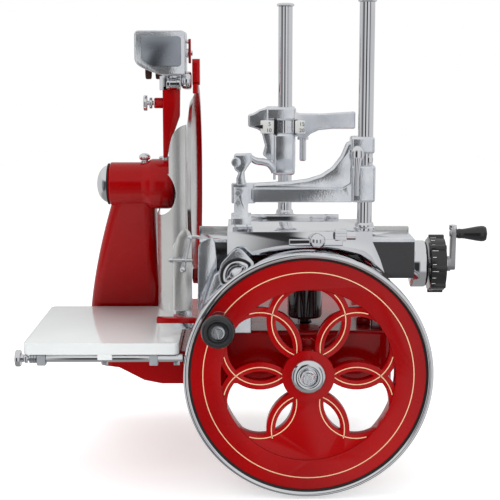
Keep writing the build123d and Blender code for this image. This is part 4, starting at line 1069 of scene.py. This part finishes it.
class SLICER_OT_feed_end(bpy.types.Operator):
    """Feed barrel, scalloped dial with ticks, crank arm and handle"""

    bl_idname = "slicer.feed_end"
    bl_label = "Feed end"

    def execute(self, context):
        self.dial()
        softened("feed_crank", 1.4, 3)
        low, high = node_span("feed_handle")
        z = (low.z + high.z) / 2
        bm = bmesh.new()
        turned(bm, "X", (low.x, SCREW.y, z), [
            (5.1, 0), (6.6, 0), (7.4, 1), (8.6, 5), (8.2, 9), (8.6, 14), (10.4, 24), (12.6, 36),
            (13.5, 43), (13.2, 47.5), (11.4, 51), (8, 51.8), (5.1, 51.8)
        ], 44, True)
        make_piece("feed_handle_moulded", bm, "feed_handle", "black_plastic",
                   replaces=("feed_handle",))
        bm = bmesh.new()
        turned(bm, "X", (SCREW.x + 76, SCREW.y, z), [(0, -9), (8, -9), (9, -8), (9, 0), (7, 1.5),
                                                     (0, 1.5)], 36)
        hex_head(bm, "Z", (SCREW.x + 71.5, SCREW.y, z + 7), 7.4, -8)
        turned(bm, "X", (SCREW.x + 56, SCREW.y, SCREW.z), [(0, 0), (13, 0), (14, 1), (14, 6),
                                                           (12, 8), (12, 11.8), (0, 11.8)], 40)
        make_piece("feed_crank_fittings", bm, "feed_screw", "chrome")
        return {"FINISHED"}

    def dial(self):
        """Black scalloped dial, white index marks and figures."""
        softened("feed_dial", 1.2, 3)
        left = SCREW.x + 30
        bm = bmesh.new()
        for mark in range(24):
            long = mark % 3 == 0
            turn_by = Matrix.Rotation(radians(mark * 15 + 7.5), 4, "X")
            place = Matrix.Translation((left, SCREW.y, SCREW.z)) @ turn_by
            bmesh.ops.create_cube(bm, size=1, matrix=place
                                  @ Matrix.Translation((7 if long else 5, 0, 46.05))
                                  @ Matrix.Diagonal((10 if long else 6, 0.9, 0.5, 1)))
        make_piece("dial_marks", bm, "feed_screw", "black_plastic", "mark_paint")


class SLICER_OT_tray(bpy.types.Operator):
    """Enamelled slice tray with rolled edge, its rods, tab and knob"""

    bl_idname = "slicer.tray"
    bl_label = "Slice tray"

    def execute(self, context):
        softened("slice_tray", 2.6, 4)
        low = node_span("slice_tray")[0]
        bm = bmesh.new()
        rounded_box(bm, (-316, -292), (low.y - 0.8, low.y + 3), (low.z - 9, low.z + 1), 0.9, 2)
        make_piece("tray_tab", bm, "tray", "white_enamel")
        low = node_span("tray_rods")[0]

        def trim(bm):
            knurled(bm, "X", (low.x, -205, 53), 13.6, 0.8, 7.5, 34, 0.8)
            turned(bm, "X", (low.x + 9, -205, 53), [(0, 0), (6, 0), (6.6, 1), (6.6, 4), (5.4, 5),
                                                    (0, 5)], 30)
            hex_head(bm, "X", (low.x + 20, -205, 53), 8.4, 5)
            for turn_by in range(5):
                turned(bm, "X", (low.x + 23 + 2.6 * turn_by, -205, 53),
                       [(7.4, 0), (8.6, 0.6), (8.6, 1.6), (7.4, 2.2)], 24, True)

        softened("tray_rods", 0.5, 2, extra=trim)
        return {"FINISHED"}


class SLICER_OT_stage(bpy.types.Operator):
    """Pale floor, soft studio light and the camera"""

    bl_idname = "slicer.stage"
    bl_label = "Stage"

    def execute(self, context):
        scene = context.scene
        low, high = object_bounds()
        bm = bmesh.new()
        bmesh.ops.create_grid(bm, x_segments=1, y_segments=1, size=6,
                              matrix=Matrix.Translation((0, 0, low.z - 0.004)))
        mesh = bpy.data.meshes.new("floor")
        bm.to_mesh(mesh)
        bm.free()
        floor = bpy.data.objects.new("floor", mesh)
        scene.collection.objects.link(floor)
        material = finish("floor_paint", (0.93, 0.93, 0.93), (0.90, 0.90, 0.90), gloss=(0.5, 0.6),
                          tone_scale=1.0, bump=0.02)
        shader = material.node_tree.nodes["Principled BSDF"]
        shader.inputs["Emission Color"].default_value = (1, 1, 1, 1)
        shader.inputs["Emission Strength"].default_value = FLOOR_GLOW
        floor.data.materials.append(material)
        floor.visible_glossy = False
        floor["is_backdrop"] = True
        self.world(scene)
        for lamp in LAMPS:
            self.light(*lamp)
        camera = bpy.data.objects.new("camera", bpy.data.cameras.new("camera"))
        scene.collection.objects.link(camera)
        camera.location = CAMERA_PLACE
        camera.rotation_euler = (radians(90 - CAMERA_DOWN), 0, radians(CAMERA_TURN))
        camera.data.lens = CAMERA_LENS
        camera.data.clip_start = 0.05
        scene.camera = camera
        scene.view_settings.view_transform = "Standard"
        return {"FINISHED"}

    def light(self, name, place, target, width, height, power):
        """A soft rectangular lamp aimed at a point."""
        lamp = bpy.data.lights.new(name, "AREA")
        lamp.shape = "RECTANGLE"
        lamp.size = width
        lamp.size_y = height
        lamp.energy = power
        holder = bpy.data.objects.new(name, lamp)
        holder.visible_glossy = False
        bpy.context.scene.collection.objects.link(holder)
        holder.location = place
        aim = Vector(target) - Vector(place)
        holder.rotation_euler = aim.to_track_quat("-Z", "Y").to_euler()

    def world(self, scene):
        """A white studio with grey bands on the operator's side, for bright metal to reflect."""
        world = bpy.data.worlds.new("studio")
        scene.world = world
        world.use_nodes = True
        tree = world.node_tree
        back = tree.nodes["Background"]
        place = tree.nodes.new("ShaderNodeTexCoord")
        split = tree.nodes.new("ShaderNodeSeparateXYZ")
        tree.links.new(place.outputs["Generated"], split.inputs["Vector"])

        def ramp(source, low, stops):
            """Grey levels along one direction, from low to 1."""
            spread = tree.nodes.new("ShaderNodeMapRange")
            spread.inputs["From Min"].default_value = low
            shades = tree.nodes.new("ShaderNodeValToRGB")
            shades.color_ramp.interpolation = "EASE"
            elements = shades.color_ramp.elements
            while len(elements) < len(stops):
                elements.new(0.5)
            for element, (spot, value) in zip(elements, stops):
                element.position = (spot - low) / (1 - low)
                element.color = (value, value, min(1, value * 1.03), 1)
            tree.links.new(split.outputs[source], spread.inputs["Value"])
            tree.links.new(spread.outputs["Result"], shades.inputs["Fac"])
            return shades.outputs["Color"]

        def blend(factor, first, second):
            """Mix two colours, each a socket or a grey level."""
            mix = tree.nodes.new("ShaderNodeMix")
            mix.data_type = "RGBA"
            tree.links.new(factor, mix.inputs["Factor"])
            for label, value in (("A", first), ("B", second)):
                if isinstance(value, float):
                    mix.inputs[label].default_value = (value, value, value, 1)
                else:
                    tree.links.new(value, mix.inputs[label])
            return mix.outputs["Result"]

        bands = ramp("X", -1, ((-1, 0.45), (-0.80, 0.08), (-0.64, 0.75), (-0.38, 1.0), (-0.22, 0.05),
                               (-0.02, 0.04), (0.10, 1.0), (0.48, 0.9), (0.62, 0.10), (0.80, 0.8),
                               (1, 0.9)))
        front = ramp("Y", -1, ((-1, 1), (-0.30, 1), (-0.05, 0), (1, 0)))
        above = ramp("Z", -1, ((-1, 0), (0.18, 0), (0.42, 1), (1, 1)))
        below = ramp("Z", -1, ((-1, 1), (-0.62, 1), (-0.38, 0), (1, 0)))
        sides = blend(front, 0.88, bands)
        sky = blend(above, sides, 1.0)
        ground = blend(below, sky, 0.42)
        eye = tree.nodes.new("ShaderNodeLightPath")
        tree.links.new(blend(eye.outputs["Is Camera Ray"], ground, 1.0 / WORLD_STRENGTH),
                       back.inputs["Color"])
        back.inputs["Strength"].default_value = WORLD_STRENGTH


class SLICER_PT_panel(bpy.types.Panel):
    """Lists the slicer's pieces in the sidebar"""

    bl_label = "Deli Slicer"
    bl_idname = "SLICER_PT_panel"
    bl_space_type = "VIEW_3D"
    bl_region_type = "UI"
    bl_category = "Slicer"

    def draw(self, context):
        layout = self.layout
        for settings in (context.scene.slicer_sizes, context.scene.slicer_colours):
            for name in settings.bl_rna.properties.keys():
                if name not in ("rna_type", "name"):
                    layout.prop(settings, name)
        for operator in OPERATORS:
            layout.operator(operator.bl_idname)


OPERATORS = (
    SLICER_OT_finishes, SLICER_OT_softened_parts, SLICER_OT_flywheel_trim, SLICER_OT_crank_grip,
    SLICER_OT_base_details, SLICER_OT_hub, SLICER_OT_sharpener, SLICER_OT_blade_details,
    SLICER_OT_guide_flange, SLICER_OT_meat_table, SLICER_OT_near_arm, SLICER_OT_far_arm,
    SLICER_OT_feed_end, SLICER_OT_tray, SLICER_OT_stage,
)
CLASSES = (SlicerSizes, SlicerColours, *OPERATORS, SLICER_PT_panel)


def register():
    for cls in CLASSES:
        bpy.utils.register_class(cls)
    bpy.types.Scene.slicer_sizes = PointerProperty(type=SlicerSizes)
    bpy.types.Scene.slicer_colours = PointerProperty(type=SlicerColours)


def unregister():
    del bpy.types.Scene.slicer_colours
    del bpy.types.Scene.slicer_sizes
    for cls in reversed(CLASSES):
        bpy.utils.unregister_class(cls)


def main():
    """Build every piece in order."""
    register()
    for operator in OPERATORS:
        getattr(bpy.ops.slicer, operator.bl_idname.split(".")[1])()


if __name__ == "__main__":
    main()
